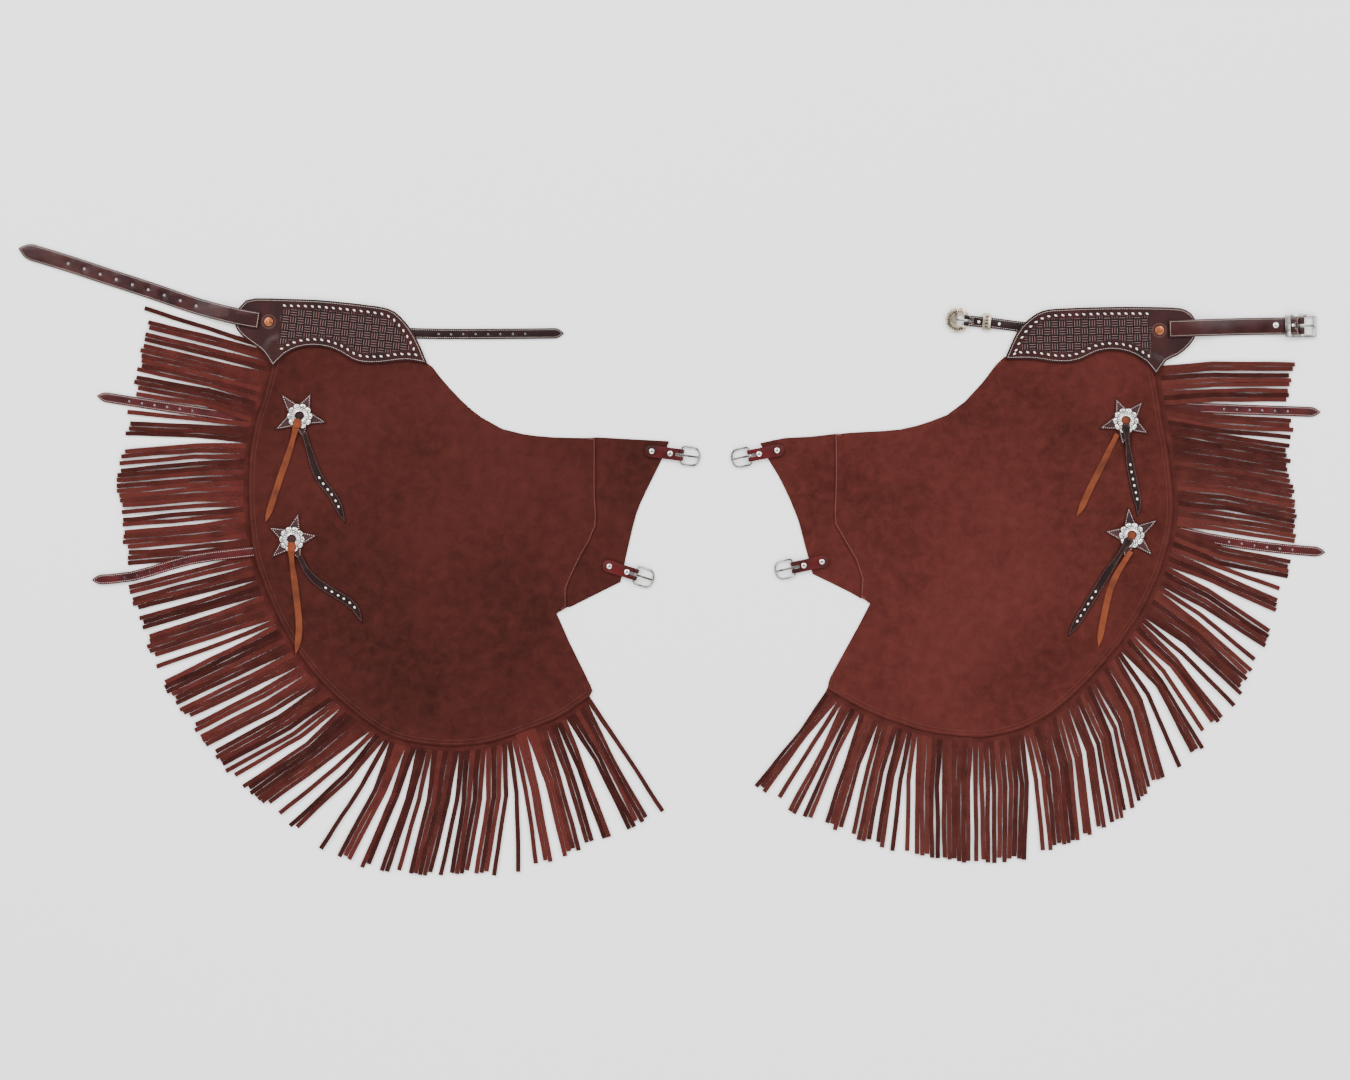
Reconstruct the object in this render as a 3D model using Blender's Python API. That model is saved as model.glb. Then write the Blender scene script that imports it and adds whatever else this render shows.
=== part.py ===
"""A pair of short fringed leather chaps, both legs laid out flat, face up.

Each leg is a suede panel with a gusset on its inner side, a fringe let into its curved edge, a
tooled leather yoke, a waist strap, a front strap, two leg straps, two buckle tabs, and two leather
stars with a silver boss and two hanging strings. Rows of points are in millimetres, seen from
above: x to the right, y towards the waist. MM turns them to metres.
"""

import math
import random

import bmesh
import bpy
from mathutils import Matrix, Vector
from mathutils.geometry import delaunay_2d_cdt

MM = 0.001
CENTRE_Y = 0.74

# Leathers and the stack of layers, from the floor up
SUEDE = 1.8
SEAM_GAP = 0.3
FRINGE_FLOOR = 0.3
FRINGE_SKIN = 1.2
STRAP_SKIN = 2.4
YOKE_SKIN = 3.6
STAR_SKIN = 2.5
STRING_SKIN = 1.5
DROP_SKIN = 2.0
FRINGE_RISE = FRINGE_FLOOR + FRINGE_SKIN + SEAM_GAP + 0.2
LAP_RISE = SUEDE + SEAM_GAP
ON_SUEDE = SUEDE + SEAM_GAP
ON_YOKE = ON_SUEDE + YOKE_SKIN + SEAM_GAP
ON_STAR = ON_SUEDE + STAR_SKIN + SEAM_GAP
ON_FRINGE = FRINGE_FLOOR + FRINGE_SKIN + SEAM_GAP

# Fringe: strands lie close together in clumps, with open gaps between the clumps
STRANDS = 125
STRIP_INSIDE = 8.0
STRIP_OUTSIDE = 8.0
STRAND_WIDTH = 6.8
STRAND_GAP = 0.5
STRAND_BEND = 0.4
CLUMP_PITCH = 7.2
CLUMP_PITCH_MORE = 0.5
CLUMP_PULL = 0.35
OPEN_SHARE = 0.3
TIP_SHORT = 6.0
TIP_LONG = 3.0
RISE_FULL = 10.0
RISE_END = 18.0
LAP = 6.0
LAP_END = 14.0
STRAP_LIFT = 2.7
LIFT_FULL = 12.0
LIFT_END = 40.0
PART_CLEAR = 11.9

# Straps
WAIST_WIDTH = 25.4
FRONT_WIDTH = 16.0
LEG_WIDTH = 15.4
WAIST_HOLE = 2.4
SMALL_HOLE = 1.8
FRONT_FOLD = 4.4
WAIST_FOLD = 4.9

# Silver bosses on the stars, the stars' inner corners, and the strings from the bosses
BOSS_RADIUS = 19.8
BOSS_LOBES = 10
BOSS_HOLE = 0.36
STAR_WAIST = 17.0
STRING_WIDTH = 10.0
DROP_WIDTH = 13.0
STRING_NECK = 7.2
STRING_TIP = 26.0
DROP_TIP = 36.0

# Leg buckles
BAR = 1.6
TAB_WIDTH = 18.0
TAB_SKIN = 3.6
TAB_BAR_HEIGHT = 3.9
EYE_BORE = 2.0
EYE_RADIUS = 3.75
FRAME_LENGTH = 27.8
FRAME_WIDTH = 27.0
FRAME_TILT = 4.0
SLOT_WIDTH = 4.8
SLOT_BACK = 9.0
PRONG_WIDTH = 3.2
PRONG_BORE = 2.0
PRONG_RADIUS = 3.45

# Seamed edges of the two panels. A row with corner 1 is a sharp corner of the outline.
LEGS = {
    "left": {
        # x, y along the fringed seam, from under the yoke to the inner hem
        "seam": [
            (-599, 323), (-608, 294), (-620, 248), (-633, 206), (-641, 160), (-643, 107), (-641, 58),
            (-632, 0), (-612, -56), (-590, -103), (-561, -149), (-520, -197), (-465, -244),
            (-425, -268), (-383, -278), (-330, -282), (-276, -276), (-216, -256), (-170, -237),
            (-125, -207),
        ],
        # x, y, corner
        "hem": [
            (-120.5, -198, 1), (-124, -189, 1), (-155, -126, 1), (-175, -81, 1), (-172, -79, 1),
            (-167, -76, 1),
        ],
        "gusset_seam": [
            (-160, -72, 1), (-160, -43, 0), (-154, -27, 0), (-137, 8, 0), (-115, 52, 0),
            (-116, 97, 0), (-116, 186, 1),
        ],
        "top": [
            (-124, 186, 0), (-130, 186, 0), (-181, 187, 0), (-227, 192, 0), (-258, 200, 0),
            (-289, 217, 0), (-320, 243, 0), (-351, 277, 0), (-364, 294, 1),
        ],
        "under_yoke": [
            (-377, 303, 1), (-406, 314, 1), (-435, 326, 1), (-444, 353, 1), (-520, 374, 1),
            (-623, 377, 1), (-626, 358, 1), (-611, 338, 1),
            (-605, 331, 1),
        ],
        "gusset": [
            (-114, 187, 1), (-4, 181, 1), (-15, 154, 0), (-41, 101, 0), (-54, 70, 0), (-66, 22, 0),
            (-78, -33, 1), (-154, -71, 1),
        ],
        "yoke": [
            (-658, 383, 0), (-647, 395, 0), (-632, 398, 0), (-580, 397, 0), (-531, 395, 0),
            (-464, 388, 0), (-430, 382, 0), (-413, 371, 0), (-397, 352, 0), (-384, 329, 0),
            (-371, 298, 1), (-404, 303, 0), (-442, 299, 0), (-468, 299, 0), (-486, 304, 0),
            (-504, 315, 0), (-522, 322, 0), (-544, 325, 0), (-567, 322, 0), (-587, 312, 0),
            (-606, 293, 1), (-620, 315, 0), (-636, 328, 0), (-653, 341, 0), (-663, 355, 0),
            (-663, 370, 0),
        ],
        # locks of strands that lie together: first tip x, y, last tip x, y, strands
        "locks": [
            (-802, 383, -802, 383, 1), (-798, 362, -818, 251, 14), (-825, 225, -833, 193, 4),
            (-833, 165, -842, 122, 6), (-842, 113, -830, -4, 15), (-825, -41, -784, -162, 14),
            (-775, -187, -676, -320, 19), (-667, -328, -574, -408, 11), (-533, -437, -492, -456, 4),
            (-470, -465, -433, -472, 4), (-416, -475, -351, -477, 7), (-334, -477, -270, -477, 8),
            (-234, -472, -205, -466, 2), (-191, -460, -120, -431, 8), (-102, -424, -14, -381, 8),
        ],
        # leg straps: x, y from the seam to the tip, and the strands above each one that lies under
        # the fringe
        "leg_straps": {
            "upper": [(-624, 212), (-725, 227), (-793, 237), (-874, 250)],
            "lower": [(-629, 14.0), (-730, 1), (-818, -24), (-881, -30)],
        },
        "strands_above": {"upper": 15},
        # buckle tabs: x, y of the round end, x, y of the buckle's middle
        "tabs": {"upper": (-41, 167, 28, 158), "lower": (-105, -6, -42, -26)},
        # stars: middle x, y, then the five points
        "stars": {
            "upper": ((-565, 219), [(-594, 253), (-548, 254), (-524, 209), (-559, 184), (-603, 198)]),
            "lower": ((-577, 32), [(-612, 50), (-567, 72), (-538, 38), (-564, -2), (-608, 4)]),
        },
        # strings from the boss: x, y from its middle to the tip
        "tan_strings": {
            "upper": [(-567, 214), (-579, 172), (-596, 122), (-613, 70), (-618, 57)],
            "lower": [(-577, 27), (-577, -1), (-571, -50), (-566, -103), (-571, -143)],
        },
        "drops": {
            "upper": [(-559, 199), (-552, 172), (-537, 128), (-512, 93), (-496, 56)],
            "lower": [(-566, 9), (-553, -18), (-530, -39), (-485, -68), (-470, -96)],
        },
        "boss_under": {"upper": "tan_strings", "lower": "tan_strings"},
        "rivet": (-612, 362),
    },
    "right": {
        "seam": [
            (731, 294), (735, 274), (740, 241), (746, 206), (752, 175), (757, 137), (761, 92),
            (759, 54), (750, 11), (736, -30), (715, -74), (687, -117), (661, -150), (626, -188),
            (590, -221), (544, -250), (484, -267), (430, -266), (380, -258), (316, -237),
            (274, -217), (236, -195),
        ],
        "hem": [
            (238, -185, 1), (241, -177, 1), (285, -97, 1), (301, -66, 1), (298, -64, 1),
            (293, -60, 1),
        ],
        "gusset_seam": [
            (286, -56, 1), (288, -28, 0), (279, 0, 0), (263, 27, 0), (247, 55, 0), (246, 75, 0),
            (248, 134, 0), (247, 192, 1),
        ],
        "top": [
            (255, 192, 0), (261, 193, 0), (271, 194, 0), (347, 199, 0), (392, 211, 0),
            (418, 221, 0), (445, 241, 0), (471, 269, 0), (493, 298, 1),
        ],
        "under_yoke": [
            (505, 309, 1), (560, 320, 1), (584, 338, 1), (593, 371, 1), (681, 374, 1),
            (769, 371, 1), (772, 350, 1), (750, 327, 1), (740, 310, 1),
            (736, 303, 1),
        ],
        "gusset": [
            (245, 192, 1), (211, 188, 0), (172, 186, 0), (156, 183, 0), (134, 178, 1),
            (146, 154, 0), (162, 128, 0), (180, 91, 0), (192, 61, 0), (202, 23, 0), (214, -21, 1),
            (241, -34, 0), (271, -49, 0), (287, -58, 1),
        ],
        "yoke": [
            (505, 305, 1), (523, 345, 0), (539, 364, 0), (563, 379, 0), (602, 383, 0),
            (680, 385, 0), (757, 384, 0), (781, 380, 0), (794, 367, 0), (796, 344, 0),
            (786, 326, 0), (768, 311, 0), (751, 303, 0), (735, 281, 1), (717, 302, 0),
            (693, 315, 0), (667, 319, 0), (644, 315, 0), (623, 305, 0), (602, 300, 0),
            (575, 301, 0), (549, 305, 0),
        ],
        "locks": [
            (947, 298, 935, 244, 8), (944, 212, 940, 187, 4), (936, 174, 950, 29, 20),
            (941, -3, 921, -77, 8), (908, -107, 900, -129, 4), (888, -153, 853, -220, 8),
            (838, -243, 807, -259, 4), (804, -284, 771, -313, 4), (745, -328, 678, -395, 11),
            (669, -399, 564, -446, 13), (535, -453, 490, -459, 7), (480, -459, 404, -453, 10),
            (395, -453, 357, -446, 5), (335, -440, 284, -424, 6), (275, -419, 201, -390, 7),
            (186, -383, 128, -343, 6),
        ],
        "leg_straps": {
            "upper": [(732, 234), (816, 231), (897, 228), (986, 225)],
            "lower": [(750, 49.5), (814, 34), (905, 20), (993, 12)],
        },
        "strands_above": {"upper": 8, "lower": 32},
        "tabs": {"upper": (170, 169, 105, 156), "lower": (238, 0, 171, -14)},
        "stars": {
            "upper": ((689, 212), [(674, 246), (715, 241), (724, 192), (684, 174), (648, 200)]),
            "lower": ((698, 38), [(693, 82), (738, 62), (730, 7), (687, 0), (657, 44)]),
        },
        "tan_strings": {
            "upper": [(677, 194), (657, 152), (637, 113), (622, 80), (614, 66)],
            "lower": [(699, 17), (679, -15), (664, -50), (652, -107), (648, -132)],
        },
        "drops": {
            "upper": [(688, 207), (692, 174), (698, 134), (708, 84), (706, 66)],
            "lower": [(695, 33), (663, -16), (639, -55), (616, -92), (601, -116)],
        },
        "boss_under": {"upper": "drops", "lower": "drops"},
        "rivet": (740, 349),
    },
}

# Straps of the waist and the front, x, y from the yoke outwards
WAIST_LEFT = [(-626, 364), (-660, 370), (-721, 386), (-795, 411), (-869, 435), (-917, 451), (-993, 474)]
WAIST_RIGHT = [(754, 351), (864, 355), (956, 356)]
FRONT_LEFT = [(-425, 346), (-352, 344), (-261, 344), (-164, 345)]
FRONT_RIGHT = [(563, 352), (530, 355), (497, 359), (470, 362), (447, 364)]
WAIST_STUDS = {"waist_stud_outer": (917, 357, 5.0), "waist_stud_inner": (943, 357, 3.2)}
FRONT_STUDS = {"front_stud_outer": (466, 362, 2.8), "front_stud_inner": (497, 359, 2.8)}
KEEPER = (478, 362)

# Leather and metal finishes: colour, roughness, metallic
FINISHES = {
    "suede": ("5a2826", 0.95, 0.0),
    "tooled_leather": ("3d2426", 0.5, 0.0),
    "strap_leather": ("4a2422", 0.55, 0.0),
    "oxblood_leather": ("64202a", 0.5, 0.0),
    "tan_leather": ("9c5430", 0.7, 0.0),
    "silver": ("d9d7d2", 0.25, 1.0),
    "copper": ("b87048", 0.3, 1.0),
}


def finish(name):
    """The shared material of one leather or metal."""
    if name in bpy.data.materials:
        return bpy.data.materials[name]
    colour, roughness, metallic = FINISHES[name]
    material = bpy.data.materials.new(name)
    material.use_nodes = True
    shader = material.node_tree.nodes["Principled BSDF"]
    levels = [int(colour[k:k + 2], 16) / 255 for k in (0, 2, 4)]
    linear = [v / 12.92 if v <= 0.04045 else ((v + 0.055) / 1.055) ** 2.4 for v in levels]
    shader.inputs["Base Color"].default_value = (*linear, 1.0)
    shader.inputs["Roughness"].default_value = roughness
    shader.inputs["Metallic"].default_value = metallic
    return material


def keep(name, mesh_builder, skin, holder, location=(0, 0, 0), turn=None, smooth_angle=35):
    """An object from a mesh in millimetres, with its material, under its holder."""
    bmesh.ops.recalc_face_normals(mesh_builder, faces=mesh_builder.faces[:])
    bmesh.ops.scale(mesh_builder, vec=(MM, MM, MM), verts=mesh_builder.verts[:])
    mesh = bpy.data.meshes.new(name)
    mesh_builder.to_mesh(mesh)
    mesh_builder.free()
    mesh.materials.append(finish(skin))
    mesh.shade_smooth()
    mesh.set_sharp_from_angle(angle=math.radians(smooth_angle))
    piece = bpy.data.objects.new(name, mesh)
    bpy.context.collection.objects.link(piece)
    piece.parent = holder
    piece.location = Vector(location) * MM
    if turn is not None:
        piece.rotation_euler = turn
    return piece


def holder_for(name, location=(0, 0, 0), turn=(0, 0, 0), parent=None):
    """An empty that carries the pieces of one part of the chaps."""
    empty = bpy.data.objects.new(name, None)
    bpy.context.collection.objects.link(empty)
    empty.parent = parent
    empty.location = Vector(location) * MM
    empty.rotation_euler = turn
    return empty


def spline(points, step):
    """A smooth curve through the points, sampled about every step along it."""
    flat = [Vector((p[0], p[1])) for p in points]
    if len(flat) < 3:
        return flat
    ends = [flat[0] * 2 - flat[1], *flat, flat[-1] * 2 - flat[-2]]
    curve = []
    for k in range(1, len(ends) - 2):
        before, start, end, after = ends[k - 1:k + 3]
        pieces = max(1, round((end - start).length / step))
        for n in range(pieces):
            t = n / pieces
            pull = (end - before) * t
            bend = (before * 2 - start * 5 + end * 4 - after) * t * t
            twist = (start * 3 - before - end * 3 + after) * t ** 3
            curve.append(start + (pull + bend + twist) / 2)
    return [*curve, flat[-1]]


def outline(rows, step, closed=True):
    """An outline of smooth runs between the rows marked as corners."""
    first = next((k for k, row in enumerate(rows) if row[2]), 0)
    turned = [*rows[first:], *rows[:first + 1]] if closed else rows
    points = []
    run = [turned[0]]
    for row in turned[1:]:
        run.append(row)
        if row[2] or row is turned[-1]:
            points += spline(run, step)[:-1]
            run = [row]
    return points if closed else [*points, Vector(rows[-1][:2])]


def even(points, pieces):
    """The curve cut into pieces of equal length."""
    lengths = [0.0]
    for a, b in zip(points, points[1:]):
        lengths.append(lengths[-1] + (b - a).length)
    cut = []
    k = 0
    for n in range(pieces + 1):
        target = lengths[-1] * n / pieces
        while k < len(points) - 2 and lengths[k + 1] < target:
            k += 1
        share = (target - lengths[k]) / (lengths[k + 1] - lengths[k])
        cut.append(points[k].lerp(points[k + 1], min(share, 1.0)))
    return cut


def beside(points, distance):
    """The curve moved sideways; a positive distance is to the right of its direction."""
    moved = []
    for k, point in enumerate(points):
        along = points[min(k + 1, len(points) - 1)] - points[max(k - 1, 0)]
        along.normalize()
        moved.append(point + Vector((along.y, -along.x)) * distance)
    return moved


def nearest(points, x, y):
    """Distance from the curve, and how far along it, of the point x, y."""
    spot = Vector((x, y))
    best = (1e9, 0.0)
    walked = 0.0
    for a, b in zip(points, points[1:]):
        span = b - a
        share = max(0.0, min(1.0, (spot - a).dot(span) / span.length_squared))
        gap = (a + span * share - spot).length
        if gap < best[0]:
            best = (gap, walked + span.length * share)
        walked += span.length
    return best


def ramp(value, rows):
    """A height read from a short list of (value, height) rows."""
    if value <= rows[0][0]:
        return rows[0][1]
    for (v0, h0), (v1, h1) in zip(rows, rows[1:]):
        if value <= v1:
            return h0 + (h1 - h0) * (value - v0) / (v1 - v0)
    return rows[-1][1]


def inside(loop, x, y):
    """Whether the point x, y lies within the closed loop."""
    hit = False
    for a, b in zip(loop, [*loop[1:], loop[0]]):
        if (a[1] > y) != (b[1] > y) and x < (b[0] - a[0]) * (y - a[1]) / (b[1] - a[1]) + a[0]:
            hit = not hit
    return hit


def ring(x, y, radius, sides, start=0.0):
    """The corners of a small round hole or disc."""
    return [
        Vector((x + radius * math.cos(start + math.tau * k / sides),
                y + radius * math.sin(start + math.tau * k / sides)))
        for k in range(sides)
    ]


def sheet(loop, floor, roof, holes=(), within=()):
    """A closed sheet over an outline, from its floor to its roof, each a height or a rule."""
    points = []
    edges = []
    for edge in [loop, *holes]:
        first = len(points)
        points += [Vector((p[0], p[1])) for p in edge]
        edges += [(first + k, first + (k + 1) % len(edge)) for k in range(len(edge))]
    for line in within:
        first = len(points)
        points += line
        edges += [(first + k, first + k + 1) for k in range(len(line) - 1)]
    filled = delaunay_2d_cdt(points, edges, [list(range(len(loop)))], 1, 1e-5)
    spots, faces = filled[0], filled[2]
    bm = bmesh.new()
    verts = [bm.verts.new((p.x, p.y, 0.0)) for p in spots]
    for face in faces:
        middle = sum((spots[k] for k in face), Vector((0.0, 0.0))) / len(face)
        if not any(inside(hole, middle.x, middle.y) for hole in holes):
            bm.faces.new([verts[k] for k in face])
    bmesh.ops.delete(bm, geom=[v for v in bm.verts if not v.link_faces], context="VERTS")
    lower = bm.verts[:]
    raised = bmesh.ops.extrude_face_region(bm, geom=bm.faces[:])["geom"]
    upper = [v for v in raised if isinstance(v, bmesh.types.BMVert)]
    for group, height in ((lower, floor), (upper, roof)):
        for v in group:
            v.co.z = height(v.co.x, v.co.y) if callable(height) else height
    return bm


def lines_inside(lines, loop, margin):
    """The stretches of the lines that lie within the loop, clear of its edge."""
    border = [*loop, loop[0]]
    found = []
    for line in lines:
        stretch = []
        for point in line:
            if inside(loop, *point) and nearest(border, *point)[0] > margin:
                stretch.append(point)
            elif stretch:
                found.append(stretch)
                stretch = []
        found.append(stretch)
    return [stretch for stretch in found if stretch]


def strap_sides(axis, widths, tip):
    """The outline of a strap along its axis from (length, width) rows, its end narrowed to a point."""
    length = nearest(axis, *axis[-1])[1]
    left = []
    right = []
    for k, point in enumerate(axis[:-1]):
        walked = nearest(axis, *point)[1]
        half = ramp(walked, widths) / 2
        if walked > length - tip:
            half *= 1 - ((walked - length + tip) / tip) ** 2
        along = axis[k + 1] - axis[max(k - 1, 0)]
        along.normalize()
        across = Vector((-along.y, along.x)) * half
        left.append(point + across)
        right.append(point - across)
    return [*right, axis[-1], *reversed(left)]


def strap_axis(points, step, tip=0.0):
    """A strap's middle line, with close points where its end is shaped."""
    axis = spline(points, step)
    if not tip:
        return axis
    length = nearest(axis, *axis[-1])[1]
    body = [p for p in axis if nearest(axis, *p)[1] < length - tip - 4]
    tail = []
    for share in (1.0, 0.75, 0.5, 0.28, 0.12, 0.0):
        tail.append(at_length(axis, length - tip * share))
    return [*body, *tail]


def at_length(axis, target):
    """The point of the axis that lies the given length along it."""
    walked = 0.0
    for a, b in zip(axis, axis[1:]):
        span = (b - a).length
        if walked + span >= target - 1e-6:
            return a.lerp(b, max(0.0, target - walked) / span)
        walked += span
    return axis[-1].copy()


def holes_along(axis, first, pitch, count, radius):
    """Punched holes counted back from the strap's tip."""
    length = nearest(axis, *axis[-1])[1]
    spots = [at_length(axis, length - first - pitch * k) for k in range(count)]
    return [ring(p.x, p.y, radius, 6) for p in spots]


def cut_with(piece, tools):
    """Joins or cuts the piece with the tool meshes, then keeps the finished mesh."""
    for tool, operation in tools:
        step = piece.modifiers.new(operation, "BOOLEAN")
        step.operation = operation
        step.solver = "EXACT"
        step.object = tool
    bpy.context.view_layer.update()
    ready = piece.evaluated_get(bpy.context.evaluated_depsgraph_get())
    mesh = bpy.data.meshes.new_from_object(ready)
    piece.modifiers.clear()
    piece.data = mesh
    mesh.name = piece.name
    for tool, _ in tools:
        bpy.data.objects.remove(tool)


def rod(name, radius, length, holder, spot, sides=12):
    """A plain round bar lying across the strap, used as a tool."""
    bm = bmesh.new()
    turned = Matrix.Rotation(math.pi / 2, 4, "X")
    bmesh.ops.create_cone(bm, cap_ends=True, segments=sides, radius1=radius, radius2=radius,
                          depth=length, matrix=turned)
    return keep(name, bm, "silver", holder, spot)


def block(name, low, high, holder):
    """A box between two corners, used as a tool."""
    bm = bmesh.new()
    size = [b - a for a, b in zip(low, high)]
    middle = [(a + b) / 2 for a, b in zip(low, high)]
    place = Matrix.Translation(middle) @ Matrix.Diagonal((*size, 1))
    bmesh.ops.create_cube(bm, size=1.0, matrix=place)
    return keep(name, bm, "silver", holder)


def dome(radius, height, sides):
    """A low round head with a flat underside."""
    bm = bmesh.new()
    bmesh.ops.create_cone(bm, cap_ends=True, segments=sides, radius1=radius, radius2=radius * 0.8,
                          depth=height * 0.6, matrix=Matrix.Translation((0, 0, height * 0.3)))
    top = max(bm.faces, key=lambda face: face.calc_center_median().z)
    cap = bmesh.ops.extrude_face_region(bm, geom=[top])["geom"]
    bmesh.ops.delete(bm, geom=[top], context="FACES_ONLY")
    rim = [v for v in cap if isinstance(v, bmesh.types.BMVert)]
    bmesh.ops.scale(bm, vec=(0.45, 0.45, 1), verts=rim)
    bmesh.ops.translate(bm, vec=(0, 0, height * 0.4), verts=rim)
    return bm


def lift_over(straps, x, y):
    """How much the seam is raised where a leg strap comes out from under it."""
    gap = min(nearest(axis, x, y)[0] for axis in straps)
    share = ramp(gap, [(LIFT_FULL, 1.0), (LIFT_END, 0.0)])
    return STRAP_LIFT * share * share * (3 - 2 * share)


def seam_rise(seam, straps, x, y, spread=0.0):
    """How much the cloth is raised over the fringe strip and the leg straps."""
    gap = nearest(seam, x, y)[0] - spread
    if gap >= RISE_END:
        return 0.0
    return (FRINGE_RISE + lift_over(straps, x, y)) * ramp(gap, [(RISE_FULL, 1.0), (RISE_END, 0.0)])


def fringe(name, side, seam, straps, leg, holder):
    """The fringe: a narrow strip under the panel's edge, cut into strands outside the seam."""
    outward = 1 if side == "left" else -1
    roots = beside(seam, STRIP_OUTSIDE * outward)
    tucked = beside(seam, -STRIP_INSIDE * outward)
    bm = bmesh.new()
    columns = {}
    low = []
    for k, (a, b) in enumerate(zip(tucked, roots)):
        lift = lift_over(straps, *seam[k])
        pair = [bm.verts.new((p.x, p.y, FRINGE_FLOOR + lift)) for p in (a, b)]
        columns[(round(pair[1].co.x, 3), round(pair[1].co.y, 3))] = k
        low.append(pair)
    for a, b in zip(low, low[1:]):
        bm.faces.new((a[0], a[1], b[1], b[0]))
    raised = bmesh.ops.extrude_face_region(bm, geom=bm.faces[:])["geom"]
    upper = [v for v in raised if isinstance(v, bmesh.types.BMVert)]
    bmesh.ops.translate(bm, vec=(0, 0, FRINGE_SKIN), verts=upper)

    def column(v):
        return columns.get((round(v.co.x, 3), round(v.co.y, 3)))

    mouths = {}
    for face in bm.faces:
        found = {column(v) for v in face.verts}
        if None not in found and len(found) == 2:
            mouths[min(found)] = face
    rings = strand_rings(roots, seam, straps, leg)
    for k, (middles, ends) in enumerate(zip(*rings)):
        face = mouths[k]
        for spot in (middles, ends):
            face = bmesh.ops.extrude_discrete_faces(bm, faces=[face])["faces"][0]
            high = max(v.co.z for v in face.verts)
            if spot is middles:
                near = {v: column(v) == k for v in face.verts}
                top = {v: v.co.z > high - FRINGE_SKIN / 2 for v in face.verts}
            else:
                near = {v: (v.co.xy - middles[0]).length < (v.co.xy - middles[1]).length
                        for v in face.verts}
                top = {v: v.co.z > high - FRINGE_SKIN / 2 for v in face.verts}
            for v in face.verts:
                place = spot[0] if near[v] else spot[1]
                v.co = (place.x, place.y, spot[2] + (FRINGE_SKIN if top[v] else 0.0))
    return keep(name, bm, "suede", holder)


def lock_tips(locks):
    """Each strand's tip, gathered in clumps, and where it would be with even spacing."""
    chance = random.Random(7)
    found = []
    for x0, y0, x1, y1, count in locks:
        first = Vector((x0, y0))
        last = Vector((x1, y1))
        steps = [CLUMP_PITCH + CLUMP_PITCH_MORE * chance.random() for _ in range(count - 1)]
        spare = max(0.0, (last - first).length - sum(steps))
        opened = chance.sample(range(count - 1), round((count - 1) * OPEN_SHARE))
        parts = [0.5 + chance.random() for _ in opened]
        for k, part in zip(opened, parts):
            steps[k] += spare * part / sum(parts)
        total = sum(steps) or 1.0
        for k in range(count):
            level = first.lerp(last, k / max(1, count - 1))
            found.append((first.lerp(last, sum(steps[:k]) / total), level))
    return found


def part_strands(centres, axis, above, across):
    """Moves the strands on both sides of a strap just clear of it and of one another."""
    for step, first in ((-1, above - 1), (1, above)):
        least = PART_CLEAR
        k = first
        while 0 <= k < len(centres):
            foot = at_length(axis, nearest(axis, *centres[k])[1])
            if (foot - centres[k]).dot(across) * step >= least:
                break
            centres[k] = foot - across * step * least
            least += CLUMP_PITCH
            k += step


def strand_rings(roots, seam, straps, leg):
    """Both sides and the height of each strand, at its bend and at its tip."""
    chance = random.Random(11)
    bases = [(a + b) / 2 for a, b in zip(roots, roots[1:])]
    edge = [(a + b) / 2 for a, b in zip(seam, seam[1:])]
    bends = []
    tips = []
    for base, stitch, (tip, level) in zip(bases, edge, lock_tips(leg["locks"])):
        out = (base - stitch).normalized()
        curved = base + out * (tip - base).length * STRAND_BEND
        bends.append(base.lerp(tip, STRAND_BEND).lerp(curved, 0.3) + (tip - level) * CLUMP_PULL)
        stretch = TIP_LONG - (TIP_LONG + TIP_SHORT) * chance.random()
        tips.append(tip + (tip - base).normalized() * stretch)
    raised = [FRINGE_FLOOR] * len(bases)
    for axis, above in zip(straps, leg["strands_above"].values()):
        line = (axis[-1] - axis[0]).normalized()
        across = Vector((-line.y, line.x))
        if (bases[0] - bases[-1]).dot(across) < 0:
            across = -across
        part_strands(bends, axis, above, across)
        part_strands(tips, axis, above, across)
        for k, base in enumerate(bases):
            if nearest(axis, *base)[0] < PART_CLEAR + 2:
                raised[k] = STRAP_SKIN + SEAM_GAP
    found = []
    for centres, starts, heights in ((bends, bases, raised), (tips, bends, None)):
        row = []
        for k, (centre, start) in enumerate(zip(centres, starts)):
            along = (centre - start).normalized()
            across = Vector((-along.y, along.x))
            if (roots[k + 1] - roots[k]).dot(across) < 0:
                across = -across
            room = [abs((centres[n] - centre).dot(across))
                    for n in (k - 1, k + 1) if 0 <= n < len(centres)]
            width = max(1.6, min(STRAND_WIDTH, min(room) - STRAND_GAP))
            height = heights[k] if heights else FRINGE_FLOOR
            row.append((centre - across * width / 2, centre + across * width / 2, height))
        found.append(row)
    return found


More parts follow.
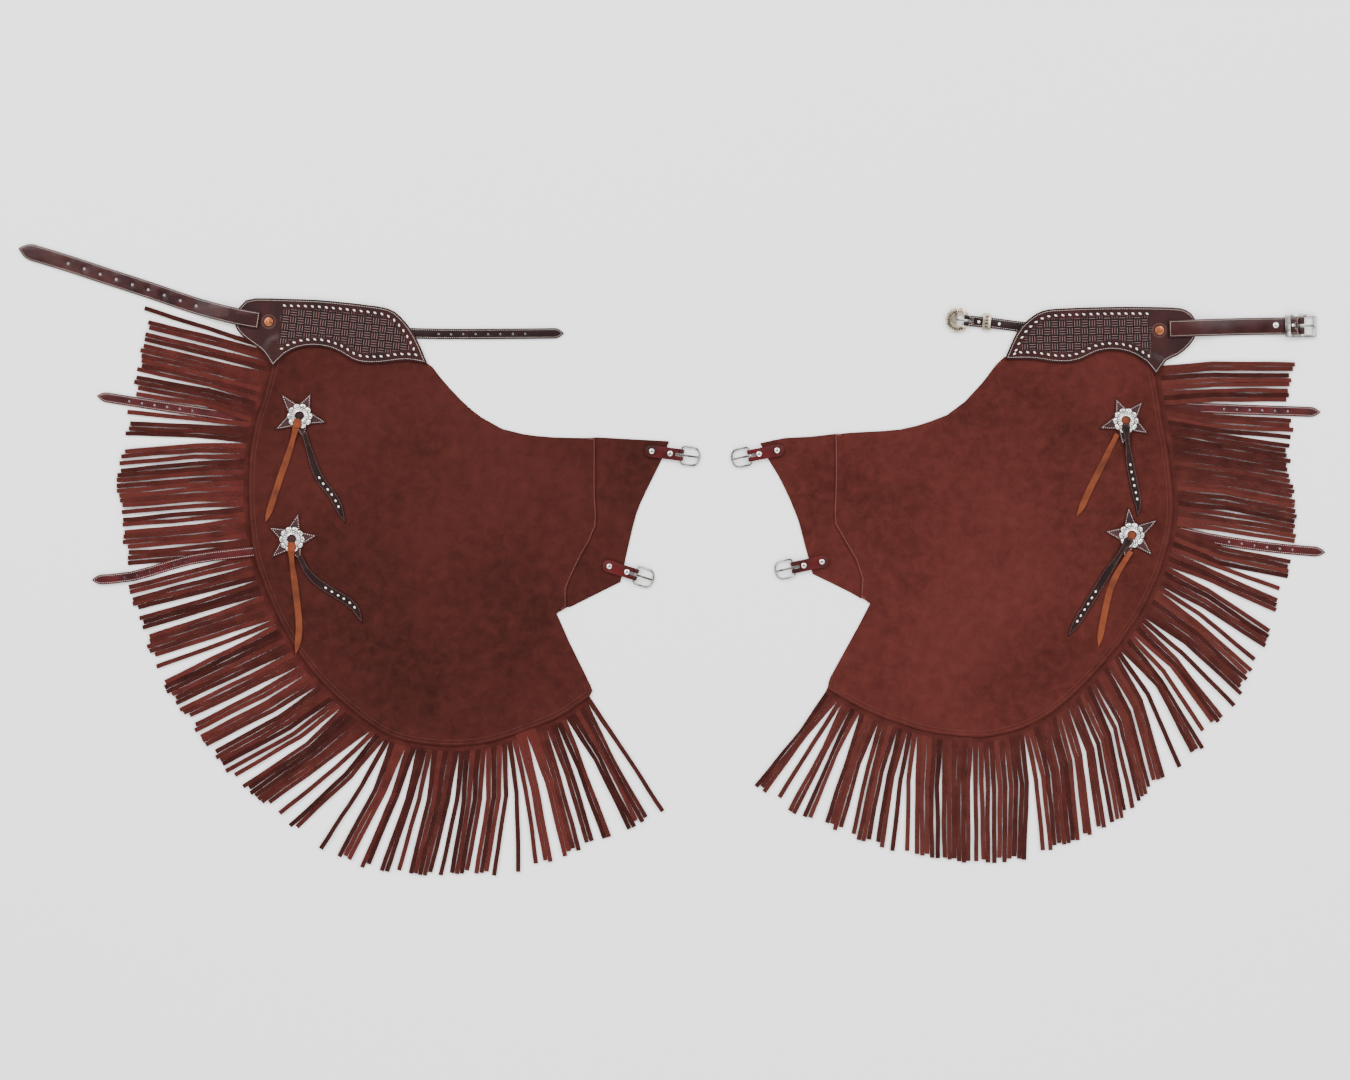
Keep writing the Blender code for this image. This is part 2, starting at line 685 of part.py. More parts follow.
def leg_cloth(side, leg, holder):
    """Panel, gusset, yoke and fringe of one leg."""
    outward = 1 if side == "left" else -1
    seam = even(spline(leg["seam"], 6.0), STRANDS)
    straps = [strap_axis(points, 30.0) for points in leg["leg_straps"].values()]
    lap = spline(leg["gusset_seam"], 22.0)

    def panel_rise(x, y):
        over_gusset = LAP_RISE * ramp(nearest(lap, x, y)[0], [(LAP + 2, 1.0), (LAP_END, 0.0)])
        return max(seam_rise(seam, straps, x, y), over_gusset)

    rest = outline([*leg["hem"], *leg["gusset_seam"], *leg["top"], *leg["under_yoke"]], 26.0, False)
    close_in = beside(seam, -RISE_FULL * outward)
    far_in = beside(seam, -RISE_END * outward)
    lap_in = [beside(lap, distance * outward) for distance in (-LAP - 2, -LAP_END)]
    edge = [*seam[:-1:2], seam[-1], *rest]
    ends = [[p] for spot in (seam[0], seam[-1]) for reach in (RISE_FULL, RISE_END)
            for p in ring(spot.x, spot.y, reach, 8) if nearest(seam, *p)[0] > reach - 0.5]
    extra = lines_inside([close_in[1:-1:2], far_in[1:-1:3], *lap_in, *ends], edge, 2.5)
    keep(side + "_panel",
         sheet(edge, panel_rise, lambda x, y: panel_rise(x, y) + SUEDE, within=extra),
         "suede", holder)

    tucked = beside(lap, -LAP * outward)
    body = outline([(p.x, p.y, 1) for p in tucked] + leg["gusset"], 22.0)
    keep(side + "_gusset", sheet(body, 0.0, SUEDE), "suede", holder)

    def yoke_floor(x, y):
        return ON_SUEDE + seam_rise(seam, straps, x, y, 3.0)

    edge = outline(leg["yoke"], 11.0)
    across = [beside(seam, distance)[::2]
              for distance in (-RISE_END - 3, -RISE_FULL - 3, 0, RISE_FULL + 3, RISE_END + 3)]
    rounds = [[p] for p in ring(*seam[0], RISE_FULL + 3, 8) + ring(*seam[0], RISE_END + 3, 8)]
    under = lines_inside([*across, *rounds], edge, 2.5)
    keep(side + "_yoke",
         sheet(edge, yoke_floor, lambda x, y: yoke_floor(x, y) + YOKE_SKIN, within=under),
         "tooled_leather", holder)
    lifted = [strap_axis(leg["leg_straps"][level], 30.0) for level in leg["strands_above"]]
    fringe(side + "_fringe", side, seam, lifted, leg, holder)
    for level, points in leg["leg_straps"].items():
        axis = strap_axis(points, 30.0, 16.0)
        holes = holes_along(axis, 50.0, 19.4, 6, SMALL_HOLE)
        floor = 0.0 if level in leg["strands_above"] else ON_FRINGE
        keep(side + "_leg_strap_" + level,
             sheet(strap_sides(axis, [(0, LEG_WIDTH)], 16.0), floor, floor + STRAP_SKIN, holes),
             "oxblood_leather", holder)


def star_outline(middle, tips, waist):
    """Five points joined through the star's inner corners."""
    centre = Vector(middle)
    loop = []
    for k, tip in enumerate(tips):
        following = Vector(tips[(k + 1) % len(tips)])
        notch = ((Vector(tip) - centre).normalized() + (following - centre).normalized()).normalized()
        loop += [Vector(tip), centre + notch * waist]
    return loop


def boss(radius, lobes):
    """A scalloped silver boss, crowned, with a hole at its middle for the string."""
    profile = ((1.0, 0.0), (1.0, 1.2), (0.66, 3.0), (BOSS_HOLE, 2.5), (BOSS_HOLE, 0.0))
    bm = bmesh.new()
    rows = []
    for k in range(lobes * 2):
        angle = math.tau * k / (lobes * 2)
        reach = radius if k % 2 else radius * 0.92
        spots = [(reach if share == 1.0 else radius * share, height) for share, height in profile]
        rows.append([bm.verts.new((r * math.cos(angle), r * math.sin(angle), z)) for r, z in spots])
    for a, b in zip(rows, [*rows[1:], rows[0]]):
        for k in range(len(profile)):
            n = (k + 1) % len(profile)
            bm.faces.new((a[k], b[k], b[n], a[n]))
    return bm


def from_rim(axis, middle, clear):
    """How far along its axis a string comes clear of the boss."""
    start = 0.0
    while (at_length(axis, start) - Vector(middle)).length < clear:
        start += 0.5
    return start


def string_axis(axis, start, tip):
    """A string's middle line: close points by the boss, wide ones below, a shaped tip."""
    length = nearest(axis, *axis[-1])[1]
    spots = [start + 6.0 * k for k in range(10)]
    spots += [spots[-1] + 16.0 * k for k in range(1, 12)]
    spots = [s for s in spots if s < length - tip - 5]
    spots += [length - tip * share for share in (1.0, 0.7, 0.4, 0.15, 0.0)]
    return [at_length(axis, s) for s in spots]


def leg_ornaments(side, leg, holder):
    """Stars, bosses, strings, drops and the copper rivet of one leg."""
    seam = even(spline(leg["seam"], 6.0), STRANDS)
    straps = [strap_axis(points, 30.0) for points in leg["leg_straps"].values()]
    for level, (middle, tips) in leg["stars"].items():
        keep(side + "_star_" + level,
             sheet(star_outline(middle, tips, STAR_WAIST), ON_SUEDE, ON_SUEDE + STAR_SKIN),
             "tooled_leather", holder)
        keep(side + "_boss_" + level, boss(BOSS_RADIUS, BOSS_LOBES), "silver", holder,
             (*middle, ON_STAR))
        over_boss = leg["boss_under"][level]
        for kind, width, tip, skin, colour in (
                ("tan_strings", STRING_WIDTH, STRING_TIP, STRING_SKIN, "tan_leather"),
                ("drops", DROP_WIDTH, DROP_TIP, DROP_SKIN, "tooled_leather")):
            axis = spline(leg[kind][level], 3.0)
            reach = max([34.0, *[math.dist(point, middle) + 3 for point in tips
                                 if nearest(axis, *point)[0] < 14]])
            rows = [(reach, ON_STAR), (reach + 12, ON_SUEDE)]
            if kind == over_boss:
                # out of the boss's hole, over its crown and rim, then down to the suede
                rows = [(5.0, ON_STAR + 2.0), (8.0, ON_STAR + 3.5), (15.0, ON_STAR + 3.5),
                        (23.0, ON_STAR + 1.6), (27.0, ON_STAR), *rows]
                start = from_rim(axis, middle, 1.5)
                widths = [(0, 12.0), (8, 13.0), (19, 8.5), (30, 7.6), (60, width)]
            else:
                start = from_rim(axis, middle, BOSS_RADIUS + STRING_NECK / 2 + 0.6)
                widths = [(0, STRING_NECK), (55, width)]
            axis = string_axis(axis, start, tip)

            def floor(x, y, rows=rows, middle=middle):
                height = ramp((Vector((x, y)) - Vector(middle)).length, rows)
                return max(height, ON_SUEDE + seam_rise(seam, straps, x, y, 6.0))

            def roof(x, y, floor=floor, skin=skin):
                return floor(x, y) + skin

            name = "_tan_string_" if kind == "tan_strings" else "_drop_"
            sides = strap_sides(axis, widths, tip)
            keep(side + name + level, sheet(sides, floor, roof), colour, holder)
    keep(side + "_rivet", dome(6.8, 2.6, 12), "copper", holder, (*leg["rivet"], ON_YOKE))


def prong(name, length, low, high, bore, radius, holder, tilt):
    """A buckle's prong: a flat ring round the bar with a straight tongue."""
    sweep_start = math.pi / 2
    sweep_end = math.tau + math.asin(low / radius)
    turns = 10
    loop = [Vector((length, low)), Vector((length + 0.8, (low + high) / 2)), Vector((length, high))]
    for k in range(turns + 1):
        angle = sweep_start + (sweep_end - sweep_start) * k / turns
        loop.append(Vector((radius * math.cos(angle), radius * math.sin(angle))))
    loop[3] = Vector((0.0, high))
    bm = sheet(loop, -PRONG_WIDTH / 2, PRONG_WIDTH / 2, [ring(0, 0, bore, 10)])
    bmesh.ops.rotate(bm, cent=(0, 0, 0), matrix=Matrix.Rotation(math.pi / 2, 3, "X"),
                     verts=bm.verts[:])
    return keep(name, bm, "silver", holder, (0, 0, 0), tilt)


def leg_buckles(side, leg, holder):
    """Two buckles on their leather tabs, riveted to the gusset."""
    for level, (end_x, end_y, mid_x, mid_y) in leg["tabs"].items():
        way = Vector((mid_x - end_x, mid_y - end_y))
        reach = way.length - FRAME_LENGTH / 2
        bearing = math.atan2(way.y, way.x)
        bar = Vector((end_x, end_y)) + way.normalized() * reach
        name = side + "_" + level
        place = holder_for(name + "_buckle_bar", (bar.x, bar.y, TAB_BAR_HEIGHT), (0, 0, bearing),
                           holder)
        half = TAB_WIDTH / 2
        loop = [Vector((0, half)), *[Vector((half - reach + half * math.cos(a), half * math.sin(a)))
                                     for a in (math.pi * k / 8 + math.pi / 2 for k in range(9))],
                Vector((0, -half))]
        tab = keep(name + "_tab", sheet(loop, ON_SUEDE - TAB_BAR_HEIGHT,
                                        ON_SUEDE + TAB_SKIN - TAB_BAR_HEIGHT),
                   "oxblood_leather", place)
        tools = [
            (rod("eye", EYE_RADIUS, TAB_WIDTH - 0.8, place, (0, 0, 0)), "UNION"),
            (rod("bore", EYE_BORE, TAB_WIDTH + 4, place, (0, 0, 0)), "DIFFERENCE"),
            (block("slot", (-SLOT_BACK, -SLOT_WIDTH / 2, -9), (9, SLOT_WIDTH / 2, 9), place),
             "DIFFERENCE"),
        ]
        for walked in (10.0, 39.0):
            head = keep("rivet_head", dome(3.4, 2.2, 8), "silver", place,
                        (walked - reach, 0, ON_SUEDE + TAB_SKIN - TAB_BAR_HEIGHT - 0.4))
            tools.append((head, "UNION"))
        cut_with(tab, tools)
        tilt = (0, math.radians(FRAME_TILT), 0)
        buckle_frame(name + "_frame", place, tilt)
        prong(name + "_prong", FRAME_LENGTH + 1.2, BAR + SEAM_GAP, PRONG_RADIUS, PRONG_BORE,
              PRONG_RADIUS, place, tilt)


def buckle_frame(name, holder, tilt):
    """A round wire frame: a straight bar at the tab, bowed sides and a round front."""
    half = FRAME_WIDTH / 2
    path = [(0, -half + 2.5), (0, half - 2.5)]
    for radius, x, y, start in ((2.5, 2.5, half - 2.5, 180), (10, FRAME_LENGTH - 10, half - 10, 90),
                                (10, FRAME_LENGTH - 10, 10 - half, 0), (2.5, 2.5, 2.5 - half, 270)):
        turns = 3 if radius > 5 else 1
        for k in range(turns + 1):
            angle = math.radians(start - 90 * k / turns)
            path.append((x + radius * math.cos(angle), y + radius * math.sin(angle)))
    curve = bpy.data.curves.new(name, "CURVE")
    curve.dimensions = "3D"
    curve.bevel_depth = BAR * MM
    curve.bevel_resolution = 2
    wire = curve.splines.new("POLY")
    unique = [p for k, p in enumerate(path) if math.dist(p, path[k - 1]) > 0.1]
    wire.points.add(len(unique) - 1)
    for point, (x, y) in zip(wire.points, unique):
        point.co = (x * MM, y * MM, 0, 1)
    wire.use_cyclic_u = True
    curve.materials.append(finish("silver"))
    piece = bpy.data.objects.new(name, curve)
    bpy.context.collection.objects.link(piece)
    piece.parent = holder
    piece.rotation_euler = tilt
    return piece


def waist_and_front(left, right):
    """The waist strap and its buckle, and the front strap and its rosette buckle."""
    axis = strap_axis(WAIST_LEFT, 17.0, 22.0)
    floor_rows = [(50.0, ON_YOKE), (100.0, 0.0)]
    keep("left_waist_strap",
         sheet(strap_sides(axis, [(0, WAIST_WIDTH)], 22.0),
               lambda x, y: ramp(nearest(axis, x, y)[1], floor_rows),
               lambda x, y: ramp(nearest(axis, x, y)[1], floor_rows) + 3.0,
               holes_along(axis, 79.0, 25.6, 9, WAIST_HOLE)),
         "strap_leather", left)

    axis_front = strap_axis(FRONT_LEFT, 19.0, 14.0)
    keep("left_front_strap",
         sheet(strap_sides(axis_front, [(0, FRONT_WIDTH)], 14.0), 0.0,
               lambda x, y: ramp(nearest(axis_front, x, y)[1], [(37.0, SUEDE), (54.0, STRAP_SKIN)]),
               holes_along(axis_front, 59.0, 18.8, 8, SMALL_HOLE)),
         "tooled_leather", left)

    waist_buckle(right)
    rosette_buckle(right)


def strap_to_bar(name, rows, width, floor_rows, roof_rows, eye, bore, bar_height, slot, back, skin,
                 holder):
    """A strap that ends in an eye round a buckle's bar, slotted for the prong."""
    axis = spline(rows, 12.0)
    end = axis[-1]
    way = (end - axis[-3]).normalized()
    bearing = math.atan2(way.y, way.x)
    bm = sheet(strap_ends_square(axis, width), lambda x, y: ramp(nearest(axis, x, y)[1], floor_rows),
               lambda x, y: ramp(nearest(axis, x, y)[1], roof_rows))
    strap = keep(name, bm, skin, holder)
    place = holder_for(name + "_bar", (end.x, end.y, bar_height), (0, 0, bearing), holder)
    cut_with(strap, [
        (rod("eye", eye, width - 0.8, place, (0, 0, 0)), "UNION"),
        (rod("bore", bore, width + 4, place, (0, 0, 0)), "DIFFERENCE"),
        (block("slot", (-back, -slot / 2, -12), (12, slot / 2, 12), place), "DIFFERENCE"),
    ])
    return place


def strap_ends_square(axis, width):
    """The outline of a strap with both ends cut square."""
    return [*beside(axis, width / 2), *reversed(beside(axis, -width / 2))]


def waist_buckle(holder):
    """The waist strap's buckle: a flat frame with a centre bar, its wide bar over the strap."""
    bar_height = 4.9
    place = strap_to_bar(
        "right_waist_strap", WAIST_RIGHT, 26.0,
        [(50.0, ON_YOKE), (92.0, 0.0)], [(50.0, ON_YOKE + 3.0), (92.0, 3.0), (140.0, 3.0),
                                         (158.0, WAIST_FOLD)],
        4.4, 2.6, bar_height, 5.4, 7.0, "tooled_leather", holder)
    loop = rounded_box(-25.8, 22.8, 17.5, 3.0)
    windows = [box_loop(-17.6, -1.6, 13.6), box_loop(1.6, 17.8, 13.6)]
    tilt = (0, math.radians(6.0), 0)
    keep("waist_buckle_frame", sheet(loop, -1.5, 1.5, windows), "silver", place, (0, 0, 0), tilt)
    prong("waist_buckle_prong", 20.6, 1.85, 4.0, 2.65, 4.0, place, tilt)
    for name, (x, y, radius) in WAIST_STUDS.items():
        keep(name, dome(radius, 2.4, 12), "silver", holder, (x, y, WAIST_FOLD + SEAM_GAP))


def rosette_buckle(holder):
    """The front strap's buckle: a scalloped round plate, open where the strap is looped on."""
    radius = 19.0
    reach = 12.9
    bar_radius = 1.5
    bar_height = 3.75
    place = strap_to_bar(
        "right_front_strap", FRONT_RIGHT, FRONT_WIDTH,
        [(0.0, 0.0)], [(44.0, SUEDE), (55.0, 2.4), (64.0, FRONT_FOLD)],
        3.7, 1.85, bar_height, SLOT_WIDTH, 8.0, "tooled_leather", holder)
    lobes = 14
    opening = 8.8
    loop = []
    for k in range(lobes * 4 + 1):
        angle = math.tau * k / (lobes * 4)
        edge = radius - 0.9 + 0.9 * math.cos(angle * lobes)
        spot = Vector((reach + edge * math.cos(angle), edge * math.sin(angle)))
        if spot.x < -2.4 and abs(spot.y) < opening + 2:
            continue
        loop.append(spot)
    loop = loop[:-1]
    split = next(k for k, p in enumerate(loop) if p.x < 6 and p.y < 0)
    loop = [*loop[:split], Vector((-2.4, opening)), Vector((reach + 1.2, opening)),
            Vector((reach + 1.2, -opening)), Vector((-2.4, -opening)), *loop[split:]]
    plate = keep("front_buckle_frame", sheet(loop, -bar_radius, bar_radius), "silver", place)
    cut_with(plate, [(rod("bar", bar_radius * 0.98, opening * 2 + 4, place, (0, 0, 0), 10), "UNION")])
    prong("front_buckle_prong", reach + 4.6, bar_radius + SEAM_GAP, 3.3, 1.9, 3.3, place,
          (0, 0, 0))
    for name, (x, y, size) in FRONT_STUDS.items():
        keep(name, dome(size, 2.0, 10), "silver", holder, (x, y, FRONT_FOLD + SEAM_GAP))
    keeper(holder)


def keeper(holder):
    """A silver band over the front strap, turned down at both sides."""
    half_length = 6.0
    half_width = 12.4
    wall = 1.3
    top = 6.2
    loop = [Vector(p) for p in (
        (-half_width, 0.3), (-half_width, top), (half_width, top), (half_width, 0.3),
        (half_width - wall, 0.3), (half_width - wall, top - wall),
        (-half_width + wall, top - wall), (-half_width + wall, 0.3))]
    bm = sheet(loop, -half_length, half_length)
    bmesh.ops.rotate(bm, cent=(0, 0, 0), matrix=Matrix.Rotation(math.pi / 2, 3, "X"),
                     verts=bm.verts[:])
    keep("front_keeper", bm, "silver", holder, (*KEEPER, 0), (0, 0, math.radians(84)))


def rounded_box(x0, x1, half, radius):
    """A rectangle with round corners."""
    loop = []
    for x, y, start in ((x1 - radius, half - radius, 0), (x0 + radius, half - radius, 90),
                        (x0 + radius, radius - half, 180), (x1 - radius, radius - half, 270)):
        for k in range(4):
            angle = math.radians(start + 30 * k)
            loop.append(Vector((x + radius * math.cos(angle), y + radius * math.sin(angle))))
    return loop


def box_loop(x0, x1, half):
    """A plain rectangle."""
    return [Vector(p) for p in ((x0, -half), (x1, -half), (x1, half), (x0, half))]


for old in list(bpy.data.objects):
    bpy.data.objects.remove(old)

chaps = holder_for("chaps", (0, -CENTRE_Y, 0))
for leg_side, leg_table in LEGS.items():
    leg_holder = holder_for(leg_side + "_leg", parent=chaps)
    leg_cloth(leg_side, leg_table, leg_holder)
    leg_ornaments(leg_side, leg_table, leg_holder)
    leg_buckles(leg_side, leg_table, leg_holder)
waist_and_front(bpy.data.objects["left_leg"], bpy.data.objects["right_leg"])
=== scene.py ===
import math
import random

import bmesh
import bpy
from mathutils import Matrix, Vector, noise
from mathutils.bvhtree import BVHTree
from mathutils.kdtree import KDTree


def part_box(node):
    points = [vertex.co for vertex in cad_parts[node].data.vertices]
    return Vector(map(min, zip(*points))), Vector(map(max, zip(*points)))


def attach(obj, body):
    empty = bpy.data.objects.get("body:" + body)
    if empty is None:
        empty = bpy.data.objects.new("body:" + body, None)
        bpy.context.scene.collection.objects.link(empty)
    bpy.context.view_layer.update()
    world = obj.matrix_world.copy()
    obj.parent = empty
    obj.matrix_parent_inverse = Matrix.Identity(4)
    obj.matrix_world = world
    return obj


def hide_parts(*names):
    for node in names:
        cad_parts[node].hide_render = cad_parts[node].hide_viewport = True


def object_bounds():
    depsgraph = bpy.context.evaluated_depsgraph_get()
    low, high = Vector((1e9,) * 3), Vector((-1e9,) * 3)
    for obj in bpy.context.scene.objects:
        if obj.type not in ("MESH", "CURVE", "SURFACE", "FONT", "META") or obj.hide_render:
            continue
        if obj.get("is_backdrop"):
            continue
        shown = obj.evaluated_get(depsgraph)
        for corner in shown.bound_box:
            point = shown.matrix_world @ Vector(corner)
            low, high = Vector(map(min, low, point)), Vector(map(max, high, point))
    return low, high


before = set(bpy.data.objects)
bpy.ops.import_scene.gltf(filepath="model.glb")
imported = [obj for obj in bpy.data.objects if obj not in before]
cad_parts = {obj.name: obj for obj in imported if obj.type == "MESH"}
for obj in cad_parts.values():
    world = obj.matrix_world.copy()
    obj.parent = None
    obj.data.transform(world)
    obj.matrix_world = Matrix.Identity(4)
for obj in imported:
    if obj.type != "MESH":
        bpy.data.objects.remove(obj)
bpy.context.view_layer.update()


# Camera, table and lights
# The chaps lie on a pale table and are photographed from straight above with a long lens.
# Broad soft lights stand all round, a little stronger from the top left.

MM = 0.001
PHOTO_WIDTH_MM = 2052.0
LENS = 70.0
SENSOR = 36.0
VIEW_CENTRE = (4.7, 30.1)


def srgb(code):
    """A hex colour as the linear colour that shaders take."""
    levels = [int(code[k:k + 2], 16) / 255 for k in (1, 3, 5)]
    return (*[v / 12.92 if v <= 0.04045 else ((v + 0.055) / 1.055) ** 2.4 for v in levels], 1.0)


def add_node(material, kind, links=(), **settings):
    """One shader node with its settings, and its links as (input, source node, output)."""
    node = material.node_tree.nodes.new(kind)
    for key, value in settings.items():
        if hasattr(node, key):
            setattr(node, key, value)
        else:
            node.inputs[key.replace("_", " ")].default_value = value
    for socket, source, output in links:
        material.node_tree.links.new(source.outputs[output], node.inputs[socket])
    return node


def new_material(name, **surface):
    """A material whose shader has these constants."""
    material = bpy.data.materials.new(name)
    material.use_nodes = True
    shader = material.node_tree.nodes["Principled BSDF"]
    for key, value in surface.items():
        shader.inputs[key.replace("_", " ")].default_value = value
    return material, shader


camera_data = bpy.data.cameras.new("camera")
camera_data.lens = LENS
camera_data.sensor_width = SENSOR
camera_data.clip_end = 50.0
camera = bpy.data.objects.new("camera", camera_data)
bpy.context.collection.objects.link(camera)
camera.location = (VIEW_CENTRE[0] * MM, VIEW_CENTRE[1] * MM, PHOTO_WIDTH_MM * MM * LENS / SENSOR)
bpy.context.scene.camera = camera

# Matt white laminate table
table_top, table_shader = new_material("white_laminate_table", Base_Color=srgb("#ffffff"),
                                       Roughness=0.9, Specular_IOR_Level=0.1)
table_mesh = bpy.data.meshes.new("table")
bm = bmesh.new()
bmesh.ops.create_grid(bm, x_segments=1, y_segments=1, size=6.0)
bm.to_mesh(table_mesh)
bm.free()
table_mesh.materials.append(table_top)
table = bpy.data.objects.new("table", table_mesh)
table.location = (0, 0, -0.0006)
bpy.context.collection.objects.link(table)
table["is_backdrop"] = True

for name, place, size, power in (
        ("light_top_left", (-2.2, 2.4, 3.4), 2.6, 165.0),
        ("light_top_right", (2.4, 2.0, 3.2), 2.6, 105.0),
        ("light_front", (0.4, -3.0, 3.4), 3.0, 78.0)):
    lamp = bpy.data.lights.new(name, "AREA")
    lamp.size = size
    lamp.energy = power
    light = bpy.data.objects.new(name, lamp)
    light.location = place
    light.rotation_euler = (Vector((0, 0, 0)) - Vector(place)).to_track_quat("-Z", "Y").to_euler()
    bpy.context.collection.objects.link(light)
# White walls and ceiling, darker over the camera and low down: height, brightness
ROOM = [(0.0, 0.25), (0.2, 0.3), (0.5, 0.8), (0.8, 1.0), (0.92, 0.3), (1.0, 0.1)]
world = bpy.data.worlds.new("studio")
world.use_nodes = True
direction = add_node(world, "ShaderNodeTexCoord")
height_of = add_node(world, "ShaderNodeSeparateXYZ", [("Vector", direction, "Generated")])
room = add_node(world, "ShaderNodeValToRGB", [("Fac", height_of, "Z")])
for k, (place, level) in enumerate(ROOM):
    stops = room.color_ramp.elements
    stop = stops[0] if k == 0 else stops[1] if k == 1 else stops.new(place)
    stop.position = place
    stop.color = (level, level, level, 1)
background = world.node_tree.nodes["Background"]
background.inputs["Strength"].default_value = 2.0
world.node_tree.links.new(room.outputs["Color"], background.inputs["Color"])
bpy.context.scene.world = world


# Suede panels and gussets
# Each leg is one side of cowhide with the flesh side up: a soft nap in dull red-brown that
# lies lighter and darker in cloudy patches. The gusset is the same hide, lapped and sewn on.

# Widths of the hide's cloudy patches, of the strokes of a hand over the nap, and of the nap's
# tufts, which are drawn coarser than real ones so that they show
CLOUD_WIDTH = 310.0
BRUSH_WIDTH = 17.0
NAP_WIDTH = 1.1
SUEDE_CELL = 8.0
SUEDE_RIM = 0.5
FOLD_CLEAR = 26.0


def suede(name, mid, light, dark):
    """Napped suede: cloudy patches, brushed streaks and short fibres with a soft sheen."""
    material, shader = new_material(name, Roughness=0.95, Specular_IOR_Level=0.1,
                                    Sheen_Weight=0.08, Sheen_Roughness=0.6,
                                    Sheen_Tint=srgb("#a05a4c"))
    place = add_node(material, "ShaderNodeTexCoord")
    clouds = add_node(material, "ShaderNodeTexNoise", [("Vector", place, "Object")],
                      Scale=1000 / CLOUD_WIDTH, Detail=7.0, Roughness=0.58)
    cloud_step = add_node(material, "ShaderNodeMapRange", [("Value", clouds, "Fac")],
                          From_Min=0.37, From_Max=0.62)
    brushed = add_node(material, "ShaderNodeTexNoise", [("Vector", place, "Object")],
                       Scale=1000 / BRUSH_WIDTH, Detail=5.0, Roughness=0.65,
                       Distortion=0.4)
    brush_step = add_node(material, "ShaderNodeMapRange", [("Value", brushed, "Fac")],
                          From_Min=0.3, From_Max=0.75)
    base = add_node(material, "ShaderNodeMix", [("Factor", cloud_step, "Result")],
                    data_type="RGBA")
    base.inputs[6].default_value = srgb(dark)
    base.inputs[7].default_value = srgb(mid)
    lit = add_node(material, "ShaderNodeMath", [(0, brush_step, "Result")],
                   operation="MULTIPLY")
    lit.inputs[1].default_value = 0.45
    top = add_node(material, "ShaderNodeMix", [("Factor", lit, "Value"), (6, base, 2)],
                   data_type="RGBA")
    top.inputs[7].default_value = srgb(light)
    nap = add_node(material, "ShaderNodeTexNoise", [("Vector", place, "Object")],
                   Scale=1000 / NAP_WIDTH, Detail=2.0)
    relief = add_node(material, "ShaderNodeBump", [("Height", nap, "Fac")],
                      Strength=0.35, Distance=0.0006)
    material.node_tree.links.new(top.outputs[2], shader.inputs["Base Color"])
    material.node_tree.links.new(relief.outputs["Normal"], shader.inputs["Normal"])
    return material


left_suede = suede("left_leg_suede", "#3a1815", "#50241f", "#270f0c")
right_suede = suede("right_leg_suede", "#441d19", "#5c2b26", "#30120e")


def merged_copy(node):
    """A CAD node's mesh with its loose triangles merged and its flats made whole."""
    bm = bmesh.new()
    bm.from_mesh(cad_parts[node].data)
    bm.transform(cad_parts[node].matrix_world)
    bmesh.ops.remove_doubles(bm, verts=bm.verts[:], dist=2e-6)
    bmesh.ops.dissolve_limit(bm, angle_limit=math.radians(0.4), verts=bm.verts[:],
                             edges=bm.edges[:])
    bm.normal_update()
    return bm


def soften_rim(bm, width, angle=50.0, segments=2):
    """Rounds the cut edges of the leather."""
    sharp = [e for e in bm.edges
             if len(e.link_faces) == 2 and e.calc_face_angle(0.0) > math.radians(angle)]
    bmesh.ops.bevel(bm, geom=sharp, offset=width * MM, offset_type="OFFSET", affect="EDGES",
                    segments=segments, profile=0.5, material=-1, clamp_overlap=True)


def cut_into_cells(bm, cell):
    """Crosses the sheet with fine lines, so that it can bend."""
    low = [min(v.co[k] for v in bm.verts) for k in (0, 1)]
    high = [max(v.co[k] for v in bm.verts) for k in (0, 1)]
    for axis in (0, 1):
        normal = Vector((1.0, 0, 0)) if axis == 0 else Vector((0, 1.0, 0))
        count = int((high[axis] - low[axis]) / (cell * MM))
        for k in range(1, count + 1):
            spot = normal * (low[axis] + (high[axis] - low[axis]) * k / (count + 1))
            bmesh.ops.bisect_plane(bm, geom=bm.verts[:] + bm.edges[:] + bm.faces[:], dist=1e-7,
                                   plane_co=spot, plane_no=normal)


def finish_piece(name, bm, material, nodes=(), body="cloth", slot=None, angle=40.0):
    """The mesh as a piece that rides on its body and stands for its CAD nodes."""
    bmesh.ops.triangulate(bm, faces=[f for f in bm.faces if len(f.verts) > 4])
    mesh = bpy.data.meshes.new(name)
    bm.to_mesh(mesh)
    bm.free()
    mesh.materials.append(material)
    mesh.shade_smooth()
    mesh.set_sharp_from_angle(angle=math.radians(angle))
    piece = bpy.data.objects.new(name, mesh)
    bpy.context.collection.objects.link(piece)
    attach(piece, body)
    if nodes:
        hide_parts(*nodes)
    return piece


def near_tree(nodes, cell=0.0):
    """Finds the nearest point of these nodes, seen from above, with points every cell or so."""
    spots = []
    for node in nodes:
        bm = merged_copy(node)
        if cell:
            cut_into_cells(bm, cell)
        spots += [v.co.copy() for v in bm.verts]
        bm.free()
    tree = KDTree(len(spots))
    for k, spot in enumerate(spots):
        tree.insert((spot.x, spot.y, 0.0), k)
    tree.balance()
    return tree


def fold(x, y, folds):
    """Height of the soft ridges at a point, in millimetres: x, y, heading, length, width, rise."""
    height = 0.0
    for x0, y0, heading, length, width, rise in folds:
        along = math.radians(heading)
        dx, dy = x - x0, y - y0
        u = dx * math.cos(along) + dy * math.sin(along)
        v = dy * math.cos(along) - dx * math.sin(along) + 0.0009 * u * u
        height += rise * math.exp(-(u / length) ** 4 - (v / width) ** 2)
    return height


